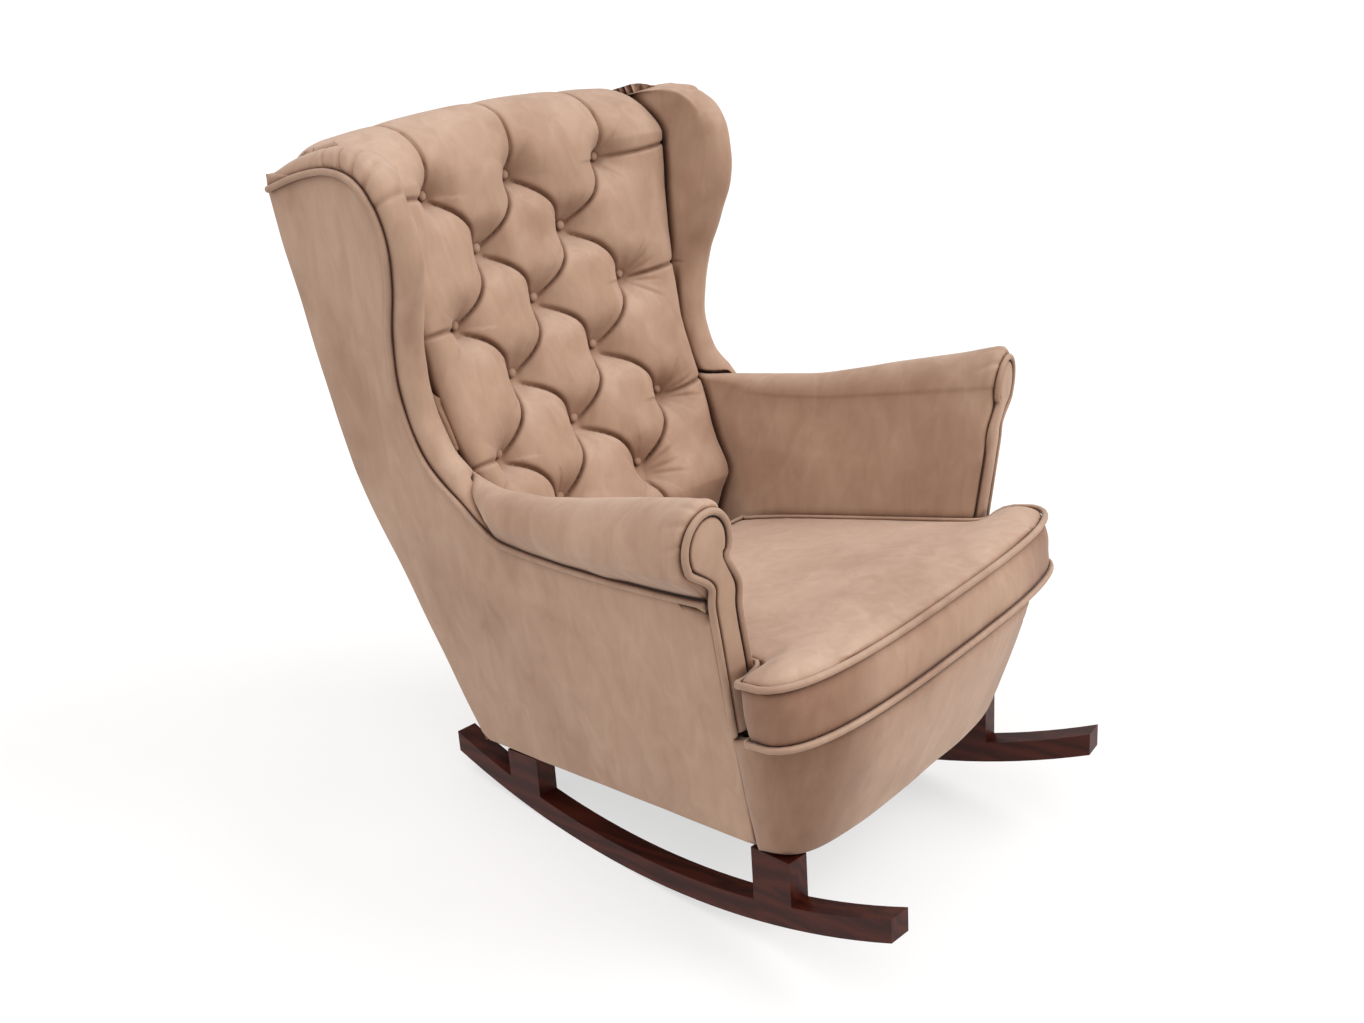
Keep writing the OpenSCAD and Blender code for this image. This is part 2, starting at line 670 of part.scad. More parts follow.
at_rest() rocker();  // rocker_left
at_rest() right_side() rocker();  // rocker_right
at_rest() leg(front_leg_s);  // front_leg_left
at_rest() right_side() leg(front_leg_s);  // front_leg_right
at_rest() leg(-rear_leg_s);  // rear_leg_left
at_rest() right_side() leg(-rear_leg_s);  // rear_leg_right
at_rest() rocker_screws();
at_rest() leg_bolts();
at_rest() corner_blocks();
at_rest() side_rail();  // side_rail_left
at_rest() right_side() side_rail();  // side_rail_right
at_rest() front_rail();
at_rest() rear_rail();
at_rest() front_board();
at_rest() front_shelf();
at_rest() arm_post();  // arm_post_left
at_rest() right_side() arm_post();  // arm_post_right
at_rest() arm_rail();  // arm_rail_left
at_rest() right_side() arm_rail();  // arm_rail_right
at_rest() back_post();  // back_post_left
at_rest() right_side() back_post();  // back_post_right
at_rest() top_rail();
at_rest() lower_back_rail();
at_rest() wing_frame();  // wing_frame_left
at_rest() right_side() wing_frame();  // wing_frame_right
at_rest() seat_springs();
at_rest() spring_clips();
at_rest() back_webbing();
at_rest() seat_deck();
at_rest() dust_cover();
at_rest() back_pad();
at_rest() back_buttons();
at_rest() wing_pad();  // wing_pad_left
at_rest() right_side() wing_pad();  // wing_pad_right
at_rest() arm_pad();  // arm_pad_left
at_rest() right_side() arm_pad();  // arm_pad_right
at_rest() arm_facing();  // arm_facing_left
at_rest() right_side() arm_facing();  // arm_facing_right
at_rest() side_panel();  // side_panel_left
at_rest() right_side() side_panel();  // side_panel_right
at_rest() outer_back_panel();
at_rest() front_apron();
at_rest() side_welt();  // side_welt_left
at_rest() right_side() side_welt();  // side_welt_right
at_rest() facing_welt();  // facing_welt_left
at_rest() right_side() facing_welt();  // facing_welt_right
at_rest() seat_cushion();
at_rest() cushion_top_welt();
at_rest() cushion_bottom_welt();
at_rest() cushion_zip();
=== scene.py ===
import json
import math

import bmesh
import bpy
import numpy as np
from mathutils import Matrix, Vector, geometry


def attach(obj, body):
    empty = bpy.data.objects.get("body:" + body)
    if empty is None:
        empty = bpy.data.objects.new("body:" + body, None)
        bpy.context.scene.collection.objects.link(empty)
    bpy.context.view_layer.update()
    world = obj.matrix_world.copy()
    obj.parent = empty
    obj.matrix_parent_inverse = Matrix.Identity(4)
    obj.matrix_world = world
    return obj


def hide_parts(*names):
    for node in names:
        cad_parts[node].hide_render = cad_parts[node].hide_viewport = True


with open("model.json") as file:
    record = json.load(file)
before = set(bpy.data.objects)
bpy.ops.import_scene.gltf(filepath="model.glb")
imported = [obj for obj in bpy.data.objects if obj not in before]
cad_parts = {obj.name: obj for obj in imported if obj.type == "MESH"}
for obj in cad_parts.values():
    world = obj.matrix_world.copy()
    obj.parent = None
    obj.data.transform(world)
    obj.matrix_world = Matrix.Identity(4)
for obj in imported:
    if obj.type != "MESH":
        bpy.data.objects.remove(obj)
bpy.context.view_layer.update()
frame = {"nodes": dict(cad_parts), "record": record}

# ---------------------------------------------------------------- the chair's own measures, in millimetres
# Pieces are drawn on the level chair, as in the part's source; LEAN tips them back about the rockers' axis.
MM = 0.001
REST_TILT = math.radians(4.9)
ARC_Y = -11.0
ROCKER_R = 1191.5
CONTACT_Y = frame["record"]["mounts"][0]["pos_m"][1]
REAR_END, REAR_LOW, REAR_TOP = 455.0, 104, 955
SKIN_T = 5.0
ARM_T = 47.0
FOLD_Z, ARM_END_Z = 500.0, 510     # where the side panel bends, and where the wing's edge leaves the arm
BASE_Z, BASE_TILT = 121.0, math.radians(3.6)
SEAT_Z, SEAT_FRONT_Y, SEAT_TILT = 333.0, -392.0, math.radians(7.5)
BORDER_H, LOW_SEAM, SIDE_GAP = 84.0, 8, 13
LOBE_HALF, LOBE_D, CUSHION_D = 332.0, 110.0, 499.0
BUTTON_DX, BUTTON_DZ, BUTTON_Z, BUTTON_R = 174.6, 87.6, 468.0, 8.7
TUFT_H, EDGE_R = 36.0, 40.0
WELT_R = 4.5

LEAN = (
    Matrix.Translation((0, CONTACT_Y, ROCKER_R * MM))
    @ Matrix.Rotation(-REST_TILT, 4, "X")
    @ Matrix.Translation((0, -ARC_Y * MM, -ROCKER_R * MM))
)
SEAT = Matrix.Translation((0, SEAT_FRONT_Y * MM, SEAT_Z * MM)) @ Matrix.Rotation(-SEAT_TILT, 4, "X")
MIRROR = Matrix.Diagonal((-1, 1, 1, 1))
SIDES = (("left", 1), ("right", -1))


def unit(x):
    return np.clip(x, 0, 1)


def bell(x, width):
    return np.exp(-((x / width) ** 2))


def rounded(x):
    """A quarter circle's rise from 0 to 1."""
    return np.sqrt(1 - (1 - unit(x)) ** 2)


def bow(t, power):
    """Half of a squared-off circle: cosine and sine of t, each drawn out towards 1."""
    c, s = np.cos(t), np.sin(t)
    return np.sign(c) * np.abs(c) ** (2 / power), np.abs(s) ** (2 / power)


def smooth(table, t):
    """Smooth interpolation (cubic Hermite) in a table of (key, value)."""
    k = np.array([a for a, _ in table], float)
    v = np.array([b for _, b in table], float)
    slope = np.gradient(v, k)
    t = np.clip(np.asarray(t, float), k[0], k[-1])
    i = np.clip(np.searchsorted(k, t) - 1, 0, len(k) - 2)
    h = k[i + 1] - k[i]
    s = (t - k[i]) / h
    return (
        v[i] * (2 * s**3 - 3 * s**2 + 1)
        + v[i + 1] * (3 * s**2 - 2 * s**3)
        + h * slope[i] * (s**3 - 2 * s**2 + s)
        + h * slope[i + 1] * (s**3 - s**2)
    )


REAR = [(100, REAR_END - 155), (274, REAR_END - 113), (406, REAR_END - 79), (538, REAR_END - 42),
        (784, REAR_END - 13), (930, REAR_END), (975, REAR_END - 4)]
WING_EDGE = [(500, 130), (529, 172), (585, 237), (669, 261), (753, 251), (825, 226), (880, 216), (925, 225),
             (958, 253), (968, 302)]
BUTTON_DEPTH = [(300, 120), (400, 178), (468, 221), (555, 258), (643, 292), (731, 317), (818, 337),
                (906, 351), (960, 360)]


def side_x(y, z):
    """Outer face of the left side panel; the two leans meet in a soft bend."""
    soft = 14.0
    over = soft * np.logaddexp(0, (z - FOLD_Z) / soft)
    return 262 + 0.215 * (z - 136) - 0.095 * over - 0.087 * (y + 246)


def rear_y(z):
    return smooth(REAR, z)


def button_y(x, z):
    return smooth(BUTTON_DEPTH, z) - 16 * (x / BUTTON_DX) ** 2


def back_half(z):
    return 205 + 0.1446 * (z - 300)


def under_z(y):
    return BASE_Z - y * math.tan(BASE_TILT)


def seat_plane(y):
    return SEAT_Z - (y - SEAT_FRONT_Y) * math.tan(SEAT_TILT)


def roll_top(y):
    """Top of the arm roll: it falls to the back and levels out before the wing."""
    return smooth([(-262, 636.7), (-100, 600.4), (0, 577), (70, 566.5), (140, 562), (260, 562)], y)


def roll_tuck(y):
    return smooth([(-270, 512), (-170, 504), (-67, 498), (72, 498), (160, 506), (220, 520)], y)


# ---------------------------------------------------------------- mesh helpers


def smooth_path(points, step, closed=False):
    """Points every step along a Catmull-Rom curve through points."""
    p = np.asarray(points, float)
    n = len(p)
    out = []
    last = n if closed else n - 1
    for i in range(last):
        if closed:
            a, b, c, d = p[i - 1], p[i], p[(i + 1) % n], p[(i + 2) % n]
        else:
            a, b, c, d = p[max(i - 1, 0)], p[i], p[i + 1], p[min(i + 2, n - 1)]
        k = max(2, int(round(np.linalg.norm(c - b) / step)))
        for t in np.arange(k) / k:
            out.append(0.5 * (
                2 * b + (c - a) * t + (2 * a - 5 * b + 4 * c - d) * t**2 + (3 * b - a - 3 * c + d) * t**3
            ))
    if not closed:
        out.append(p[-1])
    return np.array(out)


def spread(path, n):
    """n points evenly along a path."""
    d = np.r_[0, np.cumsum(np.linalg.norm(np.diff(path, axis=0), axis=1))]
    t = np.linspace(0, d[-1], n)
    return np.stack([np.interp(t, d, path[:, k]) for k in range(path.shape[1])], 1)


def grid_faces(m, n, start=0, wrap_m=False, wrap_n=False):
    faces = []
    for i in range(m if wrap_m else m - 1):
        for j in range(n if wrap_n else n - 1):
            a, b = start + i * n + j, start + i * n + (j + 1) % n
            c, d = start + ((i + 1) % m) * n + (j + 1) % n, start + ((i + 1) % m) * n + j
            faces.append((a, b, c, d))
    return faces


def normals_of(grid):
    """Unit normals of a grid of points (m, n, 3)."""
    n = np.cross(np.gradient(grid, axis=0), np.gradient(grid, axis=1))
    return n / np.maximum(np.linalg.norm(n, axis=2, keepdims=True), 1e-9)


def shell(front, back):
    """Closed surface from a front and a back grid of the same size."""
    m, n = front.shape[:2]
    verts = np.concatenate([front.reshape(-1, 3), back.reshape(-1, 3)])
    faces = grid_faces(m, n) + [tuple(reversed(f)) for f in grid_faces(m, n, m * n)]
    rim = [(i, 0) for i in range(m)] + [(m - 1, j) for j in range(1, n)]
    rim += [(i, n - 1) for i in range(m - 2, -1, -1)] + [(0, j) for j in range(n - 2, 0, -1)]
    ids = [i * n + j for i, j in rim]
    for a, b in zip(ids, ids[1:] + ids[:1]):
        faces.append((b, a, a + m * n, b + m * n))
    return verts, faces


def tube(path, r, sides=12, closed=False):
    """Round cord along a path; its frame turns as little as it can."""
    p = np.asarray(path, float)
    n = len(p)
    if closed:
        d = np.roll(p, -1, 0) - np.roll(p, 1, 0)
    else:
        d = np.gradient(p, axis=0)
    d /= np.linalg.norm(d, axis=1, keepdims=True)
    u = np.cross(d[0], [0.3, 0.5, 0.8])
    us = []
    for i in range(n):
        u = u - d[i] * np.dot(u, d[i])
        u /= np.linalg.norm(u)
        us.append(u)
    us = np.array(us)
    vs = np.cross(d, us)
    if closed:
        twist = math.atan2(np.dot(us[-1], vs[0]), np.dot(us[-1], us[0]))
        a = -twist * np.arange(n) / n
        c, s = np.cos(a)[:, None], np.sin(a)[:, None]
        us, vs = us * c + vs * s, vs * c - us * s
    a = 2 * np.pi * np.arange(sides) / sides
    c, s = np.cos(a)[None, :, None], np.sin(a)[None, :, None]
    rings = p[:, None] + r * (c * us[:, None] + s * vs[:, None])
    faces = grid_faces(n, sides, wrap_m=closed, wrap_n=True)
    if not closed:
        faces += [tuple(range(sides - 1, -1, -1)), tuple((n - 1) * sides + k for k in range(sides))]
    return rings.reshape(-1, 3), faces


def soften(points, amount, scale, seed):
    """Small bumps, as cloth over wadding has: a sum of sine waves in random directions."""
    rng = np.random.default_rng(seed)
    total = np.zeros(points.shape[:-1])
    for _ in range(14):
        direction = rng.normal(size=3)
        direction /= np.linalg.norm(direction)
        wave = scale * rng.uniform(0.7, 1.6)
        total += np.sin(2 * np.pi * points @ direction / wave + rng.uniform(0, 6.28))
    return amount * (total / 5.0)


def mend(mesh, merge=None):
    """Turns all faces outwards, after merging the points that lie closer than merge, in metres."""
    bm = bmesh.new()
    bm.from_mesh(mesh)
    if merge:
        bmesh.ops.remove_doubles(bm, verts=bm.verts, dist=merge)
    bmesh.ops.recalc_face_normals(bm, faces=bm.faces)
    bm.to_mesh(mesh)
    bm.free()


def piece(name, verts, faces, slot, side=1, body="chair", matrix=None, replaces=(), look=None):
    """New object from points in millimetres on the level chair."""
    mesh = bpy.data.meshes.new(name)
    m = LEAN @ (matrix or Matrix())
    m = (MIRROR if side < 0 else Matrix()) @ m
    v = np.asarray(verts, float) * MM
    r = np.array(m)
    v = v @ r[:3, :3].T + r[:3, 3]
    if side < 0:
        faces = [tuple(reversed(f)) for f in faces]
    mesh.from_pydata(v.tolist(), [], [tuple(int(i) for i in f) for f in faces])
    mesh.validate()
    mend(mesh)
    mesh.polygons.foreach_set("use_smooth", [True] * len(mesh.polygons))
    o = bpy.data.objects.new(name, mesh)
    bpy.context.scene.collection.objects.link(o)
    mesh.materials.append(MATERIALS[look or slot])
    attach(o, body)
    if replaces:
        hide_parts(*replaces)
    return o


# ---------------------------------------------------------------- materials


class Nodes:
    """Short forms for building a material."""

    def __init__(self, name):
        self.mat = bpy.data.materials.new(name)
        self.mat.use_nodes = True
        self.tree = self.mat.node_tree
        self.bsdf = next(n for n in self.tree.nodes if n.type == "BSDF_PRINCIPLED")
        self.coords = self.add("ShaderNodeTexCoord").outputs["Object"]

    def add(self, kind, **values):
        node = self.tree.nodes.new(kind)
        for key, value in values.items():
            if hasattr(node, key):
                setattr(node, key, value)
        return node

    def link(self, a, b):
        self.tree.links.new(a, b)

    def noise(self, scale, detail=3.0, rough=0.55, distortion=0.0, vector=None):
        n = self.add("ShaderNodeTexNoise")
        n.inputs["Scale"].default_value = scale
        n.inputs["Detail"].default_value = detail
        n.inputs["Roughness"].default_value = rough
        n.inputs["Distortion"].default_value = distortion
        self.link(vector or self.coords, n.inputs["Vector"])
        return n.outputs["Fac"]

    def scaled(self, x, y, z):
        m = self.add("ShaderNodeMapping")
        m.inputs["Scale"].default_value = (x, y, z)
        self.link(self.coords, m.inputs["Vector"])
        return m.outputs["Vector"]

    def ramp(self, fac, stops):
        r = self.add("ShaderNodeValToRGB")
        e = r.color_ramp.elements
        while len(e) < len(stops):
            e.new(0.5)
        for k, (at, rgb) in zip(e, stops):
            k.position = at
            k.color = (*rgb, 1)
        self.link(fac, r.inputs["Fac"])
        return r.outputs["Color"]

    def mix(self, fac, a, b, how="MIX"):
        m = self.add("ShaderNodeMix", data_type="RGBA", blend_type=how)
        for socket, value in ((m.inputs[0], fac), (m.inputs[6], a), (m.inputs[7], b)):
            if isinstance(value, (int, float)):
                socket.default_value = value
            elif isinstance(value, tuple):
                socket.default_value = (*value, 1)
            else:
                self.link(value, socket)
        return m.outputs[2]

    def bump(self, height, strength, distance, below=None):
        b = self.add("ShaderNodeBump")
        b.inputs["Strength"].default_value = strength
        b.inputs["Distance"].default_value = distance
        self.link(height, b.inputs["Height"])
        if below:
            self.link(below, b.inputs["Normal"])
        return b.outputs["Normal"]

    def spread(self, fac, low, high, start=0.0, end=1.0, kind="LINEAR"):
        """Maps fac from start..end to low..high."""
        m = self.add("ShaderNodeMapRange", interpolation_type=kind)
        for key, value in (("From Min", start), ("From Max", end), ("To Min", low), ("To Max", high)):
            m.inputs[key].default_value = value
        self.link(fac, m.inputs["Value"])
        return m.outputs["Result"]

    def set(self, **values):
        for key, value in values.items():
            socket = self.bsdf.inputs[key.replace("_", " ")]
            if hasattr(value, "is_output"):
                self.link(value, socket)
            else:
                socket.default_value = value
        return self.mat


# Painted light and shade: the velvet's colour from a surface that faces down (0, darker) to one that faces
# up (1, lighter).
PAINTED_TOP_LIGHT = [(0.0, (0.33, 0.21, 0.15)), (0.25, (0.36, 0.235, 0.168)), (0.5, (0.40, 0.265, 0.19)),
       (0.68, (0.42, 0.278, 0.202)), (1.0, (0.47, 0.335, 0.26))]
PATCHES = [(0.32, (0.86, 0.82, 0.80)), (0.5, (1, 1, 1)), (0.7, (1.07, 1.08, 1.09))]
STROKES = [(0.3, (0.25, 0.2, 0.17)), (0.7, (0.75, 0.72, 0.7))]
PILE = [(0.3, (0.2, 0.2, 0.2)), (0.7, (0.8, 0.8, 0.8))]
# painted shade in seams, creases and gaps, by how closed in the surface is
SEAM_SHADE = [(0.25, (0.10, 0.05, 0.035)), (0.62, (0.62, 0.5, 0.43)), (0.92, (1, 1, 1))]
SEAM_REACH = 0.014
FRONT_CORNER = (0.285, -0.36, 0.0)   # where the border and the apron turn into the chair's side
CORNER_FADE = (0.03, 0.15)           # the shade is whole at the first distance from it, gone at the second
# colour multiplied in as painted shade at the two front corners
CORNER_SHADE_TINT = (0.36, 0.22, 0.165)


def corner_shade_mask(n, strength):
    """Strength of the painted shade near the two front corners, seen in plan, falling to 0 away from them.
    """
    split = n.add("ShaderNodeSeparateXYZ")
    n.link(n.coords, split.inputs[0])
    mirrored = n.add("ShaderNodeMath", operation="ABSOLUTE")
    n.link(split.outputs["X"], mirrored.inputs[0])
    plan = n.add("ShaderNodeCombineXYZ")
    n.link(mirrored.outputs[0], plan.inputs["X"])
    n.link(split.outputs["Y"], plan.inputs["Y"])
    away = n.add("ShaderNodeVectorMath", operation="DISTANCE")
    n.link(plan.outputs[0], away.inputs[0])
    away.inputs[1].default_value = FRONT_CORNER
    return n.spread(away.outputs["Value"], strength, 0.0, *CORNER_FADE, kind="SMOOTHSTEP")


def velvet(name, tone, corner=0.0):
    """Corner is how much painted shade darkens the cloth where it turns round the two front corners."""
    n = Nodes(name)
    patches = n.noise(5.5, 3.0, 0.5, 0.4)
    strokes = n.noise(34, 3.0, 0.6, 0.8, n.scaled(1.0, 1.0, 0.35))
    pile = n.noise(1600, 2.0, 0.6)
    # painted light and shade: cloth facing up is coloured lighter, cloth facing down darker
    faces = n.add("ShaderNodeSeparateXYZ")
    n.link(n.add("ShaderNodeTexCoord").outputs["Normal"], faces.inputs[0])
    upward = n.spread(faces.outputs["Z"], 0.0, 1.0, start=-1.0)
    cloth = n.ramp(upward, [(at, tuple(tone * c for c in rgb)) for at, rgb in PAINTED_TOP_LIGHT])
    cloth = n.mix(1.0, cloth, n.ramp(patches, PATCHES), "MULTIPLY")
    cloth = n.mix(0.25, cloth, n.ramp(strokes, STROKES), "SOFT_LIGHT")
    cloth = n.mix(0.10, cloth, n.ramp(pile, PILE), "SOFT_LIGHT")
    # painted shade: the cloth is darkened round the two front corners
    if corner:
        cloth = n.mix(corner_shade_mask(n, corner), cloth, CORNER_SHADE_TINT, "MULTIPLY")
    # painted shade: ambient occlusion darkens the cloth in seams, creases and the gaps between pieces
    crease_shade = n.add("ShaderNodeAmbientOcclusion", samples=6)
    crease_shade.inputs["Distance"].default_value = SEAM_REACH
    cloth = n.mix(1.0, cloth, n.ramp(crease_shade.outputs["AO"], SEAM_SHADE), "MULTIPLY")
    normal = n.bump(pile, 0.25, 0.0004, n.bump(strokes, 0.15, 0.002))
    return n.set(
        Base_Color=cloth, Roughness=0.85, Normal=normal, Sheen_Weight=0.3, Sheen_Roughness=0.4,
        Sheen_Tint=(1.0, 0.88, 0.8, 1), Specular_IOR_Level=0.1,
    )


def wood(name, dark, light, rough, coat):
    n = Nodes(name)
    stretched = n.scaled(9, 1.2, 9)
    wave = n.add("ShaderNodeTexWave", wave_type="BANDS", bands_direction="DIAGONAL")
    wave.inputs["Scale"].default_value = 2.4
    wave.inputs["Distortion"].default_value = 7.0
    wave.inputs["Detail"].default_value = 3.0
    wave.inputs["Detail Scale"].default_value = 1.6
    n.link(stretched, wave.inputs["Vector"])
    pores = n.noise(60, 6.0, 0.7, 0.2, n.scaled(6, 0.35, 6))
    cloud = n.noise(5.0, 2.0)
    base = n.mix(wave.outputs["Fac"], dark, light)
    base = n.mix(n.spread(pores, 0.0, 0.75), base, tuple(0.45 * c for c in dark))
    base = n.mix(n.spread(cloud, 0.0, 0.35), base, tuple(0.8 * c for c in light))
    return n.set(
        Base_Color=base, Roughness=n.spread(pores, rough - 0.06, rough + 0.1),
        Normal=n.bump(pores, 0.3, 0.0006), Coat_Weight=coat, Coat_Roughness=0.25, Specular_IOR_Level=0.18,
    )


def steel(name):
    n = Nodes(name)
    brushed = n.noise(220, 4.0, 0.6, 0.0, n.scaled(1, 8, 1))
    spots = n.noise(45, 3.0)
    base = n.mix(n.spread(spots, 0.0, 1.0), (0.42, 0.43, 0.45), (0.62, 0.63, 0.64))
    return n.set(
        Base_Color=base, Metallic=1.0, Roughness=n.spread(brushed, 0.28, 0.5),
        Normal=n.bump(brushed, 0.2, 0.0003),
    )


def woven(name, dark, light, pitch, rough=0.85, depth=0.0006):
    """Plain weave from two crossed sets of threads."""
    n = Nodes(name)
    across = n.add("ShaderNodeTexWave", wave_type="BANDS", bands_direction="X")
    up = n.add("ShaderNodeTexWave", wave_type="BANDS", bands_direction="Z")
    for w in (across, up):
        w.inputs["Scale"].default_value = 0.31 / pitch
        w.inputs["Distortion"].default_value = 0.6
        n.link(n.coords, w.inputs["Vector"])
    threads = n.mix(0.5, across.outputs["Fac"], up.outputs["Fac"])
    cloud = n.noise(14, 4.0)
    base = n.mix(threads, dark, light)
    base = n.mix(n.spread(cloud, 0.0, 0.35), base, tuple(0.7 * c for c in dark))
    return n.set(Base_Color=base, Roughness=rough, Normal=n.bump(threads, 0.6, depth), Sheen_Weight=0.15)


def felt(name, dark, light):
    n = Nodes(name)
    fibres = n.noise(420, 5.0, 0.75, 1.5)
    cloud = n.noise(11, 3.0)
    base = n.mix(n.spread(cloud, 0.0, 1.0), dark, light)
    base = n.mix(n.spread(fibres, 0.0, 0.4), base, tuple(0.6 * c for c in dark))
    return n.set(Base_Color=base, Roughness=0.95, Normal=n.bump(fibres, 0.5, 0.0008), Sheen_Weight=0.2)


MATERIALS = {
    "velvet": velvet("velvet", 1.0),
    # velvet with painted shade round the two front corners
    "velvet_corner_shade": velvet("velvet_corner_shade", 1.0, corner=0.6),
    "piping": velvet("piping", 0.9),
    "walnut": wood("walnut", (0.026, 0.0035, 0.0015), (0.085, 0.014, 0.006), 0.45, 0.03),
    "frame_timber": wood("frame_timber", (0.42, 0.27, 0.14), (0.62, 0.45, 0.27), 0.7, 0.0),
    "steel": steel("steel"),
    "webbing": woven("webbing", (0.20, 0.14, 0.085), (0.42, 0.32, 0.21), 0.0025),
    "wadding": felt("wadding", (0.66, 0.62, 0.56), (0.82, 0.79, 0.73)),
    "dust_cloth": felt("dust_cloth", (0.028, 0.026, 0.024), (0.055, 0.052, 0.048)),
    "zip": woven("zip", (0.24, 0.13, 0.09), (0.36, 0.22, 0.16), 0.0008, 0.7, 0.0002),
}
slot_of = {s["node"]: s["material_slot"] for s in frame["record"]["subparts"]}
for node_name, node_object in frame["nodes"].items():
    node_object.data.materials.clear()
    node_object.data.materials.append(MATERIALS[slot_of[node_name]])

# ---------------------------------------------------------------- outer skins


def outline_distance(points, outline):
    """Distance from each point to a closed outline, and whether it lies inside."""
    best = np.full(len(points), 1e9)
    inside = np.zeros(len(points), bool)
    for a, b in zip(outline, np.roll(outline, -1, 0)):
        ab = b - a
        t = unit(((points - a) @ ab) / max(ab @ ab, 1e-12))
        best = np.minimum(best, np.linalg.norm(points - a - t[:, None] * ab, axis=1))
        if a[1] != b[1]:
            crosses = (a[1] > points[:, 1]) != (b[1] > points[:, 1])
            at = a[0] + (points[:, 1] - a[1]) * ab[0] / ab[1]
            inside ^= crosses & (points[:, 0] < at)
    return best, inside


def padded_plate(outline, spacing, thick, crown, edge):
    """Closed padded plate over a flat outline: points (u, v, height), soft-edged on top and flat below."""
    outline = np.asarray(outline, float)
    lo, hi = outline.min(0), outline.max(0)
    u, v = np.meshgrid(np.arange(lo[0], hi[0], spacing), np.arange(lo[1], hi[1], spacing))
    inner = np.stack([u.ravel(), v.ravel()], 1)
    d, inside = outline_distance(inner, outline)
    inner = inner[inside & (d > edge + 0.4 * spacing)]
    tangent = np.roll(outline, -1, 0) - np.roll(outline, 1, 0)
    tangent /= np.maximum(np.linalg.norm(tangent, axis=1, keepdims=True), 1e-9)
    normal = np.stack([-tangent[:, 1], tangent[:, 0]], 1)
    area = np.sum(outline[:, 0] * np.roll(outline[:, 1], -1) - outline[:, 1] * np.roll(outline[:, 0], -1))
    normal *= 1 if area > 0 else -1
    rings = []
    for share in (0.12, 0.4, 0.75, 1.0):
        p = outline + normal * edge * share
        d, inside = outline_distance(p, outline)
        rings.append(p[inside & (d > edge * share * 0.85)])
    flat = np.concatenate([outline, *rings, inner])
    n = len(outline)
    co, _, faces, orig, _, _ = geometry.delaunay_2d_cdt(
        [Vector(p) for p in flat], [(i, (i + 1) % n) for i in range(n)], [], 1, 1e-4
    )
    co = np.array([list(c) for c in co])
    d, _ = outline_distance(co, outline)
    rise = rounded(d / edge)
    dome = 1 - np.exp(-d / (3.0 * edge + 12))
    top = thick * (0.12 + 0.88 * rise) + crown * dome
    m = len(co)
    verts = np.concatenate([np.c_[co, top], np.c_[co, np.zeros(m)]])
    out = [tuple(f) for f in faces] + [tuple(i + m for i in reversed(f)) for f in faces]
    count = {}
    for f in faces:
        for a, b in zip(f, f[1:] + f[:1]):
            count[(a, b)] = count.get((a, b), 0) + 1
    for a, b in count:
        if (b, a) not in count:
            out.append((b, a, a + m, b + m))
    return verts, out


def side_panel(side_name, side):
    front = [(-241, under_z(-241) - 1), (-245, 200), (-248, 300), (-249, 360), (-250.5, 420), (-253, 470),
             (-254, 496)]
    low = [(-200, 496), (-100, 495), (0, 495), (100, 495), (126, 499)]
    edge = [(y, z) for z, y in WING_EDGE if z > ARM_END_Z]
    back = [(rear_y(z) - 0.5, z)
            for z in (REAR_TOP, 930, 860, 784, 700, 620, 538, 470, 406, 340, 274, 180, REAR_LOW)]
    outline = np.concatenate([
        spread(np.array(front), 30)[:-1], spread(np.array(low), 28)[:-1],
        smooth_path([low[-1], *edge, (380, 961), back[0]], 10)[:-1],
        spread(np.array(back), 70)[:-1], spread(np.array([back[-1], front[0]]), 40)[:-1],
    ])
    v, f = padded_plate(outline, 14, SKIN_T, 1.5, 5.0)
    y, z, h = v[:, 0], v[:, 1], v[:, 2]
    ripple = soften(np.c_[v[:, :2], 0 * h], 0.9, 130, 3 + side) * (h > 0)
    xyz = np.c_[side_x(y, z) - SKIN_T + h + ripple, y, z]
    return piece(
        "side_cover_" + side_name, xyz, f, "velvet", side, replaces=["side_panel_" + side_name]
    )


def side_welt(side_name, side):
    knots = [(y, roll_tuck(y) - 8) for y in (-252, -210, -170, -120, -67, 0, 72)] + [(114, 494), (150, 512)]
    knots += [(y, z) for z, y in WING_EDGE if z > ARM_END_Z] + [(370, 958), (446, 936)]
    path = smooth_path(knots, 4)
    path = np.c_[side_x(path[:, 0], path[:, 1]) + WELT_R * 0.75, path]
    v, f = tube(path, WELT_R, 12)
    return piece("side_piping_" + side_name, v, f, "piping", side, replaces=["side_welt_" + side_name])


def outer_back():
    zs = np.linspace(REAR_LOW, REAR_TOP, 80)
    us = np.linspace(-1, 1, 61)
    z, u = np.meshgrid(zs, us, indexing="ij")
    y = rear_y(z)
    edge = np.minimum((1 - np.abs(u)) * side_x(y, z), REAR_TOP - z)
    rise = rounded(edge / 7)
    x = u * (side_x(y, z) - 1.0)
    front = np.stack([x, y - SKIN_T + SKIN_T * (0.15 + 0.85 * rise) + 1.5 * (1 - np.exp(-edge / 40)), z], 2)
    front[:, :, 1] += soften(front, 0.8, 160, 9)
    back = np.stack([x * 0.99, y - SKIN_T, z], 2)
    v, f = shell(front, back)
    return piece("outer_back_cover", v, f, "velvet", replaces=["outer_back_panel"])


# ---------------------------------------------------------------- apron


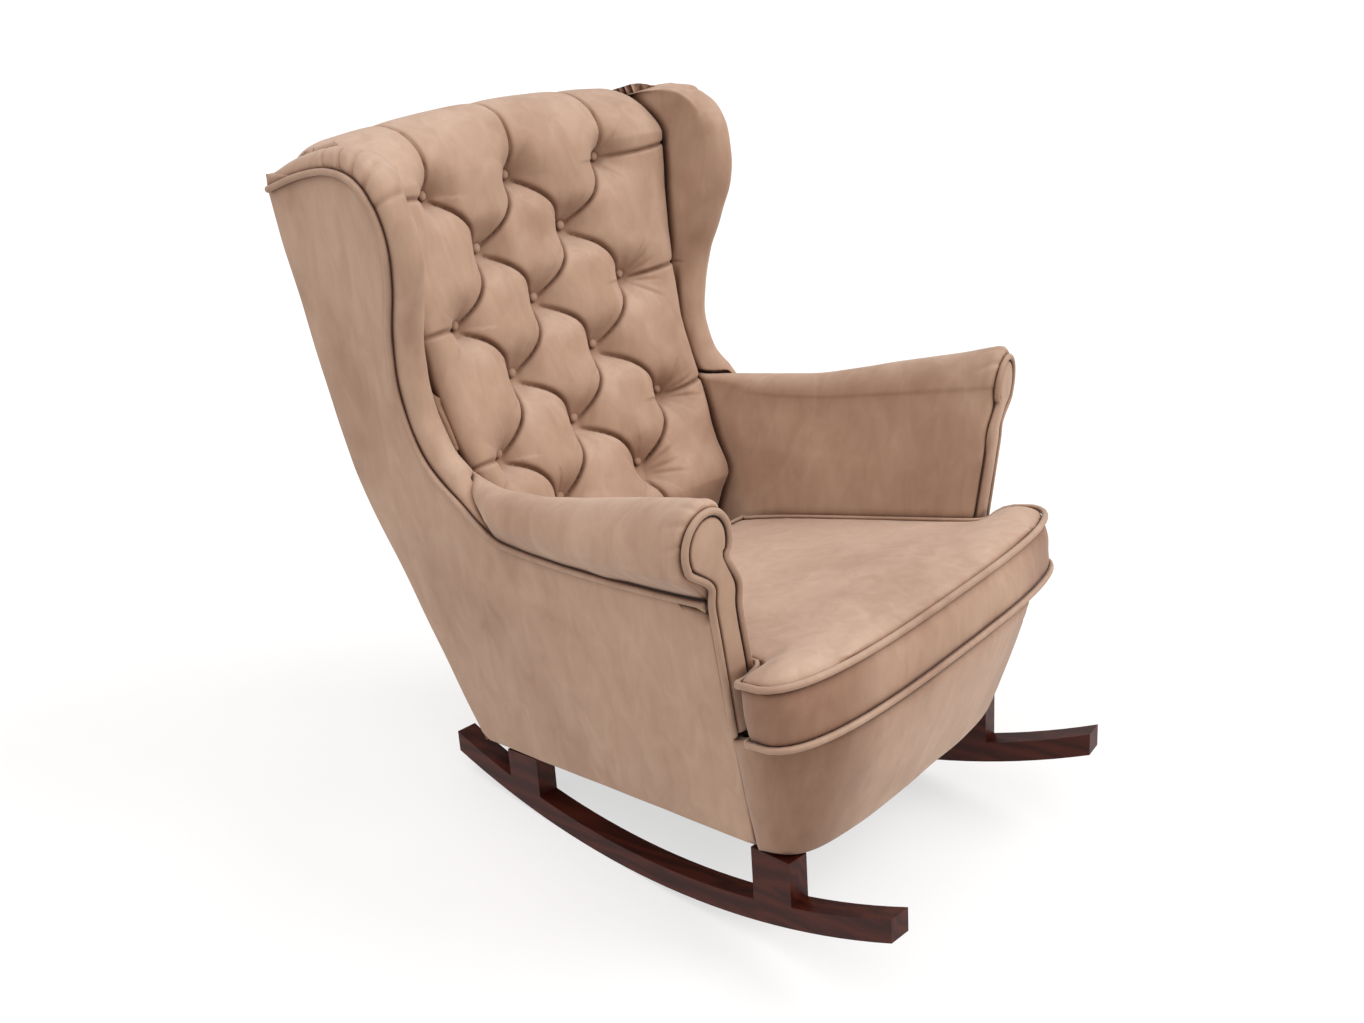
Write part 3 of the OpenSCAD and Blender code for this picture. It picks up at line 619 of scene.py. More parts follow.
def apron():
    w_back, steps, rows = -246.0, 120, 34
    t = np.linspace(0, np.pi, steps)

    def bow_at(z, inset):
        half = side_x(-246, z) + 0.8 - inset
        front = -325 - (z - 130) * 0.335 + inset
        c, s = bow(t, 3.4)
        return half * c, w_back + (front - w_back) * s

    # the outline bunches its points at the corners, so it is spread evenly first
    x, y = bow_at(300.0, 0.0)
    d = np.r_[0, np.cumsum(np.hypot(np.diff(x), np.diff(y)))]
    t = np.interp(np.linspace(0, d[-1], steps), d, t)
    front = np.zeros((rows, steps, 3))
    back = np.zeros((rows, steps, 3))
    _, y300 = bow_at(300.0, 0.0)
    top = seat_plane(y300) - 7
    low = 131.0
    for i, u in enumerate(np.linspace(0, 1, rows)):
        z = low + (top - low) * u
        x0, y0 = bow_at(z, 0.0)
        x1, y1 = bow_at(z, 12.0)
        n = np.stack([x0 - x1, y0 - y1], 1)
        n /= np.maximum(np.linalg.norm(n, axis=1, keepdims=True), 1e-9)
        e = np.minimum(z - low, top - z)
        rise = rounded(e / 12)
        from_end = unit((w_back - y0) / 34)
        puff = (-9 * (1 - rise) + 4.0 * np.sin(np.pi * unit(u)) ** 0.7) * (0.12 + 0.88 * from_end)
        corner = bell(np.abs(x0) - 262, 42) * from_end
        creases = sum(bell((top - z) - at, 2.6) for at in (13, 25, 40))
        puff = puff - corner * 1.6 * creases
        front[i] = np.c_[x0 + n[:, 0] * puff, y0 + n[:, 1] * puff, z]
        back[i] = np.c_[x1, y1, z]
    front += normals_of(front) * soften(front, 0.8, 90, 12)[:, :, None]
    v, f = shell(front, back)
    # the apron takes the velvet with painted shade round the front corners
    return piece("apron_cover", v, f, "velvet", replaces=["front_apron"], look="velvet_corner_shade")


# ---------------------------------------------------------------- arms


# The arm's front turns outwards and leans forward to its top
FACING_TURN = math.radians(10)
FACING_LEAN, FACING_TOP, FACING_LOW = 0.09, 600.0, 314.0


def arm_section(y, count):
    """Open curve over the arm at depth y, from the seat over the roll to its tuck; and a hidden one."""
    k = (172 - y) / 434
    s = side_x(y, FOLD_Z)
    zt, zw = roll_top(y), roll_tuck(y)
    behind = unit((y - 118) / 90)
    zw = np.interp(y, [118, 130, 172, 210, 237], [zw, max(zw, 502), 529, 545, 548]) if y > 118 else zw
    zw = min(zw, zt - 14)
    rx, rz = (27 + 15 * k) * (1 - behind) + 9 * behind, max((zt - zw) * 0.46, 7)
    xc, zc = (s - 16 + 25 * k) * (1 - behind) + (s - 51 + rx) * behind, zt - rz
    zb = seat_plane(y) - 14
    front = unit((-y - 60) / 200)
    wall = [(side_x(y, zb) - ARM_T, zb), (side_x(y, zb + 50) - ARM_T - 3, zb + 50),
            (side_x(y, 400) - ARM_T - 4, 400), (side_x(y, 450) - ARM_T - 4, 450),
            (side_x(y, 480) - ARM_T - 3, zw - 22)]
    arc = [(xc + rx * math.cos(a), zc + rz * math.sin(a)) for a in np.radians(np.arange(184, -52, -14))]
    tuck = (s + 0.5 - 30 * behind, zw - 3)
    curve = spread(smooth_path(wall + arc + [tuck], 2.5), count)
    hidden = [(side_x(y, zb) - ARM_T + 14, zb), (side_x(y, 480) - 28, 480), (s - 2, zw - 8)]
    hidden = spread(np.array(hidden), count)
    out = []
    for c in (curve, hidden):
        dy = front * ((c[:, 0] - s) * math.tan(FACING_TURN) + (FACING_TOP - c[:, 1]) * FACING_LEAN)
        out.append(np.c_[c[:, 0] - 0.087 * np.maximum(dy, 0), y + dy, c[:, 1]])
    return out


# Puckers where the roll is drawn over the edge of its front: place across the roll, and slant
PUCKERS = ((0.60, -1.0), (0.66, -0.5), (0.715, 0.2), (0.77, 0.8), (0.83, 1.2))


def arm_pad(side_name, side):
    ys = np.r_[-262, -260, np.arange(-257, -206, 3), np.arange(-206, 256, 6)]
    sections = [arm_section(y, 150) for y in ys]
    front = np.array([a for a, _ in sections])
    back = np.array([b for _, b in sections])
    n = normals_of(front)
    if n[30, 95] @ (front[30, 95] - back[30, 95]) < 0:
        n = -n
    ripple = soften(front, 0.9, 80, 20 + side)
    u = np.linspace(0, 1, 150)[None, :]
    ahead = unit((-228 - ys) / 34)[:, None]
    round_end = 7 * (1 - np.sqrt(1 - unit((-250 - ys) / 12) ** 2))[:, None]
    puckers = sum(bell((u - at) * 420 + 8 * ahead * lean, 2.8) for at, lean in PUCKERS)
    puckers = puckers * 3.2 * ahead
    front = front + n * (ripple - puckers - round_end * unit((u - 0.35) / 0.1))[:, :, None]
    v, f = shell(front, back)
    return piece("arm_cover_" + side_name, v, f, "velvet", side, replaces=["arm_pad_" + side_name])


def facing_outline(inset):
    lean = 0.12 * (577 - FOLD_Z) - 4
    arc = [(13 - lean + (28.5 - inset) * math.cos(a), 580 + (37 - inset) * math.sin(a))
           for a in np.radians(np.arange(-44, 226, 15))]
    outer = -6 - inset
    points = [(outer, z) for z in (FACING_LOW, 360, 400, 450, 500)] + [(outer + 3, 528)] + arc
    points += [(-37 + inset, 522), (-37 + inset, 490), (-37.5 + inset, 450)]
    points += [(-38 + inset, z) for z in (400, 360, FACING_LOW)]
    return [(u + (z - FOLD_Z) * 0.215 if z < FOLD_Z else u, z) for u, z in points]


def facing_to_chair(u, z, out):
    x0, y0 = side_x(-262, FOLD_Z), -263.0
    c, s = math.cos(FACING_TURN), math.sin(FACING_TURN)
    return np.c_[x0 + u * c + out * s, y0 + (FACING_TOP - z) * FACING_LEAN + u * s - out * c, z]


def arm_facing(side_name, side):
    outline = smooth_path(facing_outline(0.6), 4)
    outline = np.r_[outline, spread(np.array([outline[-1], outline[0]]), 9)[1:-1]]
    v, f = padded_plate(outline, 5, 7.0, 3.5, 4.0)
    xyz = facing_to_chair(v[:, 0], v[:, 1], v[:, 2])
    xyz[:, 1] += soften(xyz, 0.4, 40, 31)
    return piece(
        "arm_front_" + side_name, xyz, f, "velvet", side, replaces=["arm_facing_" + side_name]
    )


def facing_welt(side_name, side):
    path = smooth_path(facing_outline(-WELT_R - 0.2), 4)
    v, f = tube(facing_to_chair(path[:, 0], path[:, 1], np.full(len(path), 4.5)), WELT_R, 12)
    return piece("arm_piping_" + side_name, v, f, "piping", side, replaces=["facing_welt_" + side_name])


# ---------------------------------------------------------------- wings

# Edge of the outer panel and joint with the back pad, side by side, as (edge y, edge z, joint y, joint z)
WING_KNOTS = [(118, 494, 198, 492), (172, 529, 219, 535), (210, 558, 234, 566), (237, 585, 245, 592),
              (256, 627, 258, 630), (261, 669, 271, 669), (260, 711, 282, 711), (251, 753, 291, 753),
              (238, 790, 298, 790), (226, 825, 303, 825), (217, 855, 307, 855), (216, 882, 311, 882),
              (219, 908, 314, 910), (229, 934, 319, 932), (246, 955, 328, 948), (272, 966, 342, 957),
              (306, 968, 362, 967), (345, 962, 388, 973), (396, 951, 414, 967), (444, 937, 437, 945)]


# Pleats over each wing's top corner: place along the edge, depth, and how far they run on along it
PLEATS = {
    "left": [(8, 2.6, 30), (34, 3.0, 40), (66, 2.6, 30)],
    "right": [(-40, 2.4, 20), (-14, 3.4, 46), (8, 3.6, 60), (30, 3.4, 70), (62, 3.0, 60)],
}


def wing_pad(side_name, side):
    knots = smooth_path(WING_KNOTS, 2.6)
    w = knots[:, :2]
    joint = knots[:, 2:]
    t = np.gradient(w, axis=0)
    t /= np.linalg.norm(t, axis=1, keepdims=True)
    n = np.stack([-t[:, 1], t[:, 0]], 1)
    length = np.r_[0, np.cumsum(np.linalg.norm(np.diff(w, axis=0), axis=1))]
    corner = length[int(np.argmin(np.linalg.norm(w - np.array([250, 957]), axis=1)))]
    count = 64
    rows = []
    for i in range(len(w)):
        s = side_x(w[i, 0], w[i, 1])
        full = np.clip((w[i, 1] - 494) * 0.4 + 3, 3, 27)
        full = full * (1 - 0.25 * unit((length[i] - corner - 90) / 110))
        width = ARM_T + 4
        top = unit((joint[i, 1] - 920) / 36)
        j = np.array([back_half(joint[i, 1]) + 1, joint[i, 0], joint[i, 1]])
        j[0] -= 6 * top

        def at(x_in, out):
            return np.array([s - x_in, *(w[i] + n[i] * out)])

        p5 = at(width, (-0.2 + 0.95 * top) * full)
        section = [at(1.5, -1.0), at(1.0, 0.4 * full), at(8, 0.82 * full), at(22, full),
                   at(37, (0.78 + 0.16 * top) * full), at(width - 3, (0.3 + 0.5 * top) * full),
                   p5 + [-1.0, 0, 0]]
        for share, crown in ((0.3, 5.0), (0.6, 5.5), (0.85, 3.0)):
            section.append(p5 + (j - p5) * share + np.array([-crown * (1 - top), 0, 0]))
        section += [j + np.array([0.5, 3.0, 0]), j + np.array([-4 - 6 * top, 40 - 36 * top, -16 * top])]
        rows.append(spread(smooth_path(section, 3), count))
    front = np.array(rows)
    nn = normals_of(front)
    mid = len(w) // 2
    if nn[mid, 12, 1] > 0:
        nn = -nn
    u = np.linspace(0, 1, count)[None, :]
    along_edge = (length - corner)[:, None]
    window = unit(u / 0.05) * unit((0.42 - u) / 0.16)
    gathers = np.zeros_like(front[:, :, 0])
    for at, depth, slant in PLEATS[side_name]:
        d = along_edge - at - slant * u
        gathers += depth * window * (0.45 * bell(d - 8, 6.0) - bell(d, 2.8))
    gathers = gathers * unit((0.34 - u) / 0.1)
    seam = -1.6 * bell(front[:, :, 2] - 731, 2.2) * unit((u - 0.48) / 0.06)
    ripple = soften(front, 1.1, 85, 40 + side) + soften(front, 0.5, 38, 44 + side)
    behind_arm = unit((u - 0.24) / 0.08) * unit((566 - front[:, :, 2]) / 9)
    relief = gathers + seam + ripple * unit(u * 12) * unit((1 - u) * 8)
    front = front + nn * relief[:, :, None]
    front[:, :, 0] += 24 * behind_arm
    thick = 3 + 12 * np.sin(np.pi * u) ** 0.6
    back = front - nn * thick[:, :, None]
    v, f = shell(front, back)
    return piece(
        "wing_cover_" + side_name, v, f, "velvet", side, replaces=["wing_pad_" + side_name]
    )


# ---------------------------------------------------------------- buttoned back


def button_places():
    rows = []
    for row in range(6):
        n = 2 if row % 2 == 0 else 3
        rows.append([((k - (n - 1) / 2) * BUTTON_DX, BUTTON_Z + row * BUTTON_DZ) for k in range(n)])
    return rows


# Up to CREST_Z a place on the back is its height, and from there on the length over the top, up to TOP_S
CREST_Z, TOP_S = 930, 1075.0


def pleats():
    """Pleat lines as (points, height at the first end, in the middle, at the last end)."""
    rows = button_places()
    out = []

    def bowed(a, b, bow):
        a, b = np.array(a), np.array(b)
        d = b - a
        side = np.array([d[1], -d[0]]) / np.linalg.norm(d)
        if side[0] < 0:
            side = -side
        t = np.linspace(0, 1, 13)[:, None]
        return a + d * t + side * bow * np.sin(np.pi * t)

    for low, high in zip(rows, rows[1:]):
        for a in low:
            for b in high:
                if abs(a[0] - b[0]) < 0.75 * BUTTON_DX:
                    out.append((bowed(a, b, 9.0), 0.0, 0.66, 0.0))
    for row in (1, 3, 5):
        for a in (rows[row][0], rows[row][-1]):
            sign = 1 if a[0] > 0 else -1
            out.append((bowed(a, (sign * (back_half(a[1]) + 4), a[1] + 10), 3.0), 0.0, 0.90, 0.97))
    for a in rows[5]:
        lean = -12 if a[0] < 0 else -5
        out.append((bowed(a, (a[0] + lean, TOP_S), 7.0), 0.0, 0.76, 0.88))
    for a in rows[0]:
        out.append((bowed(a, (a[0], 290), 4.0), 0.0, 0.6, 0.7))
    return out


def tuft_height(x, s):
    """Height of the cloth as a share of the pillows', and the depth of the folds along the pleats."""
    high = np.ones_like(x)
    fold = np.zeros_like(x)
    for points, at0, mid, at1 in pleats():
        best = np.full(x.shape, 1e9)
        side = np.zeros_like(x)
        place = np.zeros_like(x)
        total = len(points) - 1
        for k, (a, b) in enumerate(zip(points, points[1:])):
            ab = b - a
            t = unit(((x - a[0]) * ab[0] + (s - a[1]) * ab[1]) / (ab @ ab))
            dx, ds = x - a[0] - t * ab[0], s - a[1] - t * ab[1]
            d = np.hypot(dx, ds)
            nearer = d < best
            best = np.where(nearer, d, best)
            side = np.where(nearer, np.sign(ab[0] * ds - ab[1] * dx), side)
            place = np.where(nearer, (k + t) / total, place)
        arch = np.sin(np.pi * unit(place))
        base = np.where(place < 0.5, at0 + (mid - at0) * arch**0.75, at1 + (mid - at1) * arch**0.75)
        lip = np.where(side > 0, 0.85, 1.1)
        u = unit(best / ((40.0 + 24 * (1 - arch)) * lip))
        profile = np.sqrt(np.maximum(1 - (1 - u) ** 2, 0)) ** 0.85
        high *= base + (1 - base) * profile
        deep = np.where(place < 0.5, arch**0.4, np.maximum(arch**0.4, float(at1 > 0)))
        fold = np.maximum(fold, deep * bell(best, 2.7))
    return high, fold


# Folds that run out from the buttons beside the far wing: row, angles in degrees, reach
FANS = [(0, (-28, -8, 12, 34), 62), (1, (-22, -4, 16, 44), 58), (3, (-50, -20, 0, 22, 42), 62),
        (5, (-62, -75, 60, 78), 46)]


def fan_wrinkles(x, s):
    """Depth of the fine folds that run out from a button."""
    total = np.zeros_like(x)
    for row, angles, reach in FANS:
        bx, bz = button_places()[row][-1]
        r = np.hypot(x - bx, s - bz)
        a = np.degrees(np.arctan2(s - bz, x - bx))
        for k, angle in enumerate(angles):
            across = r * np.sin(np.radians(a - angle - 0.12 * (r - 20)))
            end = reach * (1 - 0.12 * (k % 2))
            ahead = (np.abs(a - angle) < 60) & (r < end)
            strength = unit((r - 9) / 8) * unit((end - r) / 26)
            groove = bell(across, 2.2) - 0.4 * bell(across - 5, 3.4)
            total += ahead * strength * 2.0 * groove
    return total


def back_cover():
    hips = [(150, 296), (152, 340), (158, 385)]
    front = [(float(smooth(BUTTON_DEPTH, z)) - TUFT_H, z) for z in range(430, 881, 45)]
    over = [(318, 930), (330, 962), (350, 990), (378, 1003), (405, 1003), (430, 991), (442, 966), (444, 948)]
    path = smooth_path(hips + front + over, 1.5)
    length = np.r_[0, np.cumsum(np.linalg.norm(np.diff(path, axis=0), axis=1))]
    rows = int(length[-1] / 2.3)
    path = spread(path, rows)
    length = np.linspace(0, length[-1], rows)
    k0 = int(np.argmin(np.abs(path[:, 1] - CREST_Z) + (path[:, 0] > 340) * 1e3))
    s_of = np.where(np.arange(rows) <= k0, path[:, 1], CREST_Z + length - length[k0])
    t = np.gradient(path, axis=0)
    t /= np.linalg.norm(t, axis=1, keepdims=True)
    inward = np.stack([t[:, 1], -t[:, 0]], 1)

    cols = 251
    f = np.linspace(-1, 1, cols)[None, :]
    z_front = np.minimum(path[:, 1], 990)[:, None]
    half = back_half(z_front) + 10 * unit((650 - z_front) / 100)
    x = f * half
    s = np.broadcast_to(s_of[:, None], x.shape)
    share = unit((s - CREST_Z) / 120)
    tuft = TUFT_H * (1 - 0.55 * share)
    high, fold = tuft_height(x, s)
    pit = np.ones_like(x)
    for row in button_places():
        for bx, bz in row:
            r = np.hypot(x - bx, s - bz)
            pit = np.minimum(pit, 1 - 0.85 * np.exp(-np.maximum(r - BUTTON_R + 1, 0) / 7.0))
    high = high * pit
    sink = tuft * (1 - high) - 2.0 * high
    near_button = unit((pit - 0.3) / 0.5)
    sink = sink + (5.0 * fold * (1 - 0.4 * share) + fan_wrinkles(x, s)) * near_button
    edge = (1 - np.abs(f)) * half
    drop = EDGE_R * (1 - np.sqrt(1 - unit(1 - edge / EDGE_R) ** 2))
    drop *= 1 - 0.6 * share
    path_y, path_z = path[:, 0][:, None], path[:, 1][:, None]
    fall = 18 * f**2 * unit((path_z - CREST_Z) / 60)
    hollow = 16 * (x / BUTTON_DX) ** 2 * unit((path_z - 360) / 60) * (1 - share)

    def below(depth):
        """Heights and depths of the points this far under the pillows' tops."""
        return path_y - hollow + inward[:, 0][:, None] * depth, path_z - fall + inward[:, 1][:, None] * depth

    cover = np.stack([x, *below(sink + drop)], 2)
    ripple = soften(cover, 0.8, 70, 50) + soften(cover, 0.35, 30, 51)
    cover[:, :, 1] += ripple
    behind = np.where(share > 0.02, 16 + 6 * (1 - share), TUFT_H + 11) + 4 * unit(drop / EDGE_R)
    hidden = np.stack([x * 0.995, *below(np.maximum(behind, sink + drop + 3))], 2)
    v, faces = shell(cover, hidden)
    return piece("back_cover", v, faces, "velvet", replaces=["back_pad"])


def buttons():
    """Cloth-covered buttons: a domed face with a pressed rim, each on its own tilt."""
    verts, faces = [], []
    face = [(0, 0.76), (0.25, 0.74), (0.48, 0.69), (0.7, 0.58), (0.87, 0.42), (0.97, 0.2), (1, 0),
            (0.94, -0.18), (0, -0.25)]
    profile = [(r * BUTTON_R, h * BUTTON_R) for r, h in face]
    sides = 28
    for row in button_places():
        for bx, bz in row:
            tilt = math.radians(-16 - 8 * (1 - (bz - BUTTON_Z) / 440))
            ct, st = math.cos(tilt), math.sin(tilt)
            centre = np.array([bx, float(button_y(bx, bz)), bz])
            start = len(verts)
            for r, h in profile:
                for k in range(sides):
                    a = 2 * math.pi * k / sides
                    rim = 1 + 0.012 * math.sin(9 * a + bx)
                    u, v, w = r * rim * math.cos(a), -h - 0.8, r * rim * math.sin(a)
                    verts.append(centre + [u, v * ct - w * st, v * st + w * ct])
            faces += grid_faces(len(profile), sides, start, wrap_n=True)
    o = piece("back_button_covers", verts, faces, "piping", replaces=["back_buttons"])
    mend(o.data, merge=1e-5)
    return o


# ---------------------------------------------------------------- loose cushion and deck


def seat_side(y, z):
    """Where the cushion's side runs, a gap inside the arm's wall."""
    return side_x(y, seat_plane(y) + z) - ARM_T - SIDE_GAP


PLAN_POINTS = 299


def cushion_plan(inset, z):
    """Outline of the loose cushion at height z over its seat plane, anticlockwise from the right."""
    y_back = LOBE_D - 28
    c, s = bow(np.linspace(np.pi, 0, 49), 3.0)
    bow_x = (LOBE_HALF - inset) * c
    bow_y = y_back + (inset - y_back) * s
    notch, front, middle, rear = (seat_side(y, z) for y in (-270, -130, 0, 110))
    right = [(LOBE_HALF - 8 - inset, LOBE_D - 8 - inset), (LOBE_HALF - 24 - inset, LOBE_D - inset),
             (notch + 12 - inset, LOBE_D + 2 - inset), (notch - inset, LOBE_D + 14 - inset),
             (front - inset, 250), (middle - inset, 395), (rear - inset, CUSHION_D - 40 - inset),
             (rear - 12 - inset, CUSHION_D - 10 - inset), (rear - 42 - inset, CUSHION_D - inset)]
    pts = list(zip(bow_x, bow_y))[1:-1] + right + [(-x, y) for x, y in reversed(right)]
    p = smooth_path(pts, 6.0, closed=True)
    return spread(np.r_[p, p[:1]], PLAN_POINTS + 1)[:-1]


def swell(name, verts, faces, pinned, voxel, pressure, cap, steps=20):
    """Blows a closed pad up with cloth simulation. Points are in metres; pinned(co) says which stay put."""
    mesh = bpy.data.meshes.new(name)
    mesh.from_pydata([tuple(v) for v in verts], [], [tuple(f) for f in faces])
    o = bpy.data.objects.new(name, mesh)
    scene = bpy.context.scene
    scene.collection.objects.link(o)
    bpy.context.view_layer.objects.active = o
    o.select_set(True)
    r = o.modifiers.new("remesh", "REMESH")
    r.mode = "VOXEL"
    r.voxel_size = voxel
    bpy.ops.object.modifier_apply(modifier="remesh")
    start = np.array([v.co[:] for v in o.data.vertices])
    group = o.vertex_groups.new(name="held")
    held = np.nonzero(pinned(start))[0]
    group.add([int(i) for i in held], 1.0, "REPLACE")
    m = o.modifiers.new("cloth", "CLOTH")
    m.settings.vertex_group_mass = "held"
    m.settings.pin_stiffness = 30
    m.settings.use_pressure = True
    m.settings.uniform_pressure_force = pressure
    m.settings.effector_weights.gravity = 0
    m.settings.quality = 5
    m.settings.mass = 0.4
    m.settings.tension_stiffness = 25
    m.settings.compression_stiffness = 25
    m.settings.bending_stiffness = 0.6
    m.point_cache.frame_start, m.point_cache.frame_end = 1, steps
    for k in range(1, steps + 1):
        scene.frame_set(k)
    graph = bpy.context.evaluated_depsgraph_get()
    solved = o.evaluated_get(graph).to_mesh()
    end = np.array([v.co[:] for v in solved.vertices])
    o.modifiers.remove(m)
    scene.frame_set(1)
    move = end - start
    size = np.linalg.norm(move, axis=1, keepdims=True)
    start = start + move * np.minimum(1, cap / np.maximum(size, 1e-9))
    polys = [tuple(p.vertices) for p in o.data.polygons]
    bpy.data.objects.remove(o)
    return start, polys


def seat_cushion():
    mid = BORDER_H / 2
    profile = [(16, 1.2), (6, 2.5), (2.0, 6), (1.0, LOW_SEAM), (0.5, 12), (0.0, mid), (0.5, 78),
               (1.2, BORDER_H - 1), (3.5, BORDER_H + 1), (12, BORDER_H + 3.5), (40, BORDER_H + 6),
               (90, BORDER_H + 8)]
    rings = [np.c_[cushion_plan(i, z), np.full(PLAN_POINTS, z)] for i, z in profile]
    verts = np.concatenate(rings) * MM
    faces = grid_faces(len(rings), PLAN_POINTS, wrap_n=True)
    last = (len(rings) - 1) * PLAN_POINTS
    faces += [tuple(reversed(range(PLAN_POINTS))), tuple(last + k for k in range(PLAN_POINTS))]
    seam_line = cushion_plan(0, mid)[::3]

    def pinned(co):
        z = co[:, 2] / MM
        d, _ = outline_distance(co[:, :2] / MM, seam_line)
        seam = (d < 9) & ((np.abs(z - BORDER_H) < WELT_R) | (np.abs(z - LOW_SEAM) < WELT_R))
        return seam | (z < 3.5)

    v, f = swell("cushion_sim", verts, faces, pinned, 0.006, 4.0, 0.013)
    v = np.array(v) / MM
    z = v[:, 2]
    d, _ = outline_distance(v[:, :2], seam_line)
    crown = unit((z - BORDER_H) / 6)
    lobe = bell(np.abs(v[:, 0]) - 300, 70) * bell(v[:, 1] - 55, 90)
    dome = 7 * (1 - np.exp(-d / 16)) * (0.4 + lobe) + 4.5 * (1 - np.exp(-d / 110))
    v[:, 2] += crown * (dome + soften(v, 1.2, 140, 60))
    wall = ((z > 12) & (z < BORDER_H - 4)).astype(float)
    corner = bell(np.abs(v[:, 0]) - 290, 60) * bell(v[:, 1] - 25, 60)
    bulge = (3.5 + 1.0 * corner * np.sin(z / 7.0)) * np.sin(np.pi * (z - LOW_SEAM) / (BORDER_H - LOW_SEAM))
    sag = wall * (soften(v, 0.9, 75, 61) + bulge)
    out = v[:, :2] - np.array([0, 220])
    out /= np.linalg.norm(out, axis=1, keepdims=True)
    v[:, :2] += out * sag[:, None]
    v[:, 2] = np.maximum(v[:, 2], 0.4)
    o = piece(
        "seat_cushion_cover", v, f, "velvet", body="cushion", matrix=SEAT, replaces=["seat_cushion"]
    )
    # the cushion's border takes the velvet with painted shade round the front corners
    o.data.materials.append(MATERIALS["velvet_corner_shade"])
    centres = np.array([np.mean([v[k][2] for k in poly]) for poly in f])
    o.data.polygons.foreach_set("material_index", (centres < BORDER_H).astype(np.int32))
    sub = o.modifiers.new("smooth", "SUBSURF")
    sub.levels = sub.render_levels = 1
    return o


def cushion_welt(name, z, node):
    plan = cushion_plan(-2.6, z)[::2]
    behind_lobe = bell(np.abs(plan[:, 0]) - 300, 26)
    behind_lobe = behind_lobe * unit((plan[:, 1] - LOBE_D + 14) / 10)
    v, f = tube(np.c_[plan, z - 7.0 * behind_lobe], WELT_R, 12, closed=True)
    return piece(name, v, f, "piping", body="cushion", matrix=SEAT, replaces=[node])


def zip_fastener():
    """Zip in the cushion's rear border: two tapes, a row of teeth, a slider and its pull."""
    verts, faces = [], []

    def block(x0, x1, y0, y1, z0, z1, soft=0.3):
        start = len(verts)
        for y, inset in ((y0, 0), (y1 - soft, 0), (y1, soft)):
            left, right, low, high = x0 + inset, x1 - inset, z0 + inset, z1 - inset
            verts.extend([(left, y, low), (right, y, low), (right, y, high), (left, y, high)])
        faces.extend(grid_faces(3, 4, start, wrap_n=True))
        faces.append(tuple(start + k for k in (3, 2, 1, 0)))
        faces.append(tuple(start + 8 + k for k in range(4)))

    y = CUSHION_D + 0.6
    block(-150, 150, y, y + 0.7, 34, 39.2)
    block(-150, 150, y, y + 0.7, 40.8, 46)
    for k in range(118):
        x = -147 + 2.5 * k
        block(x, x + 1.5, y + 0.1, y + 1.5, 38.7 if k % 2 else 39.1, 40.9 if k % 2 else 41.3, 0.4)
    block(140, 147, y + 0.2, y + 2.2, 37, 43, 0.6)
    block(146, 149.5, y + 0.8, y + 1.6, 39, 41, 0.2)
    return piece(
        "cushion_zip_row", verts, faces, "zip", body="cushion", matrix=SEAT, replaces=["cushion_zip"]
    )


def deck():
    c, s = bow(np.linspace(np.pi, 0, 40), 3.4)
    x, y = 272 * c, 104 + (30 - 104) * s
    side = [(seat_side(-270, -20) - 2, 112), (seat_side(110, -20) - 2, 498)]
    outline = np.array(list(zip(x, y)) + side + [(-a, b) for a, b in reversed(side)])
    outline = spread(np.r_[outline, outline[:1]], 200)[:-1]
    v, f = padded_plate(outline, 14, 19.0, 0.0, 7.0)
    groove = 1.6 * bell(v[:, 1] - 120, 2.0) * (v[:, 2] > 1)
    ripple = soften(np.c_[v[:, :2], 0 * groove], 0.5, 90, 70)
    z = v[:, 2] - 20 - groove + np.where(v[:, 2] > 1, ripple, 0)
    xyz = np.c_[v[:, :2], np.minimum(z, -0.7)]
    return piece("deck_cover", xyz, f, "wadding", matrix=SEAT, replaces=["seat_deck"])


def dust_cloth():
    base = Matrix.Translation((0, 0, BASE_Z * MM)) @ Matrix.Rotation(-BASE_TILT, 4, "X")
    x, y = np.meshgrid(np.linspace(-178, 178, 60), np.linspace(-235, 285, 84))
    sag = 2.0 * (1 - (x / 178) ** 2) * (1 - ((y - 25) / 260) ** 2)
    edge = np.minimum(178 - np.abs(x), 260 - np.abs(y - 25))
    low = -1.6 - sag + 0.4 * np.sin(x / 9 + y / 31) * np.exp(-edge / 14)
    v, f = shell(np.stack([x, y, low], 2), np.stack([x, y, low + 0.7], 2))
    o = piece("dust_cloth_cover", v, f, "dust_cloth", matrix=base, replaces=["dust_cover"])
    return o


for name, sign in SIDES:
    side_panel(name, sign)
    side_welt(name, sign)
    arm_pad(name, sign)
    arm_facing(name, sign)
    facing_welt(name, sign)
    wing_pad(name, sign)
outer_back()
apron()
back_cover()
buttons()
seat_cushion()
cushion_welt("cushion_top_piping", BORDER_H, "cushion_top_welt")
cushion_welt("cushion_low_piping", LOW_SEAM, "cushion_bottom_welt")
zip_fastener()
deck()
dust_cloth()

# ---------------------------------------------------------------- floor, light and camera

scene = bpy.context.scene
scene.view_settings.view_transform = "Standard"

floor_mesh = bpy.data.meshes.new("floor")
half = 45.0
corners = [(-half, -half, 0), (half, -half, 0), (half, half, 0), (-half, half, 0)]
floor_mesh.from_pydata(corners, [], [(0, 1, 2, 3)])
floor = bpy.data.objects.new("floor", floor_mesh)
scene.collection.objects.link(floor)
paint = Nodes("floor_paint")
pale = paint.ramp(paint.noise(3.0), [(0.3, (0.34, 0.34, 0.34)), (0.7, (0.36, 0.36, 0.36))])
floor_mesh.materials.append(
    paint.set(Base_Color=pale, Roughness=0.9, Emission_Color=(1, 1, 1, 1), Emission_Strength=0.62)
)


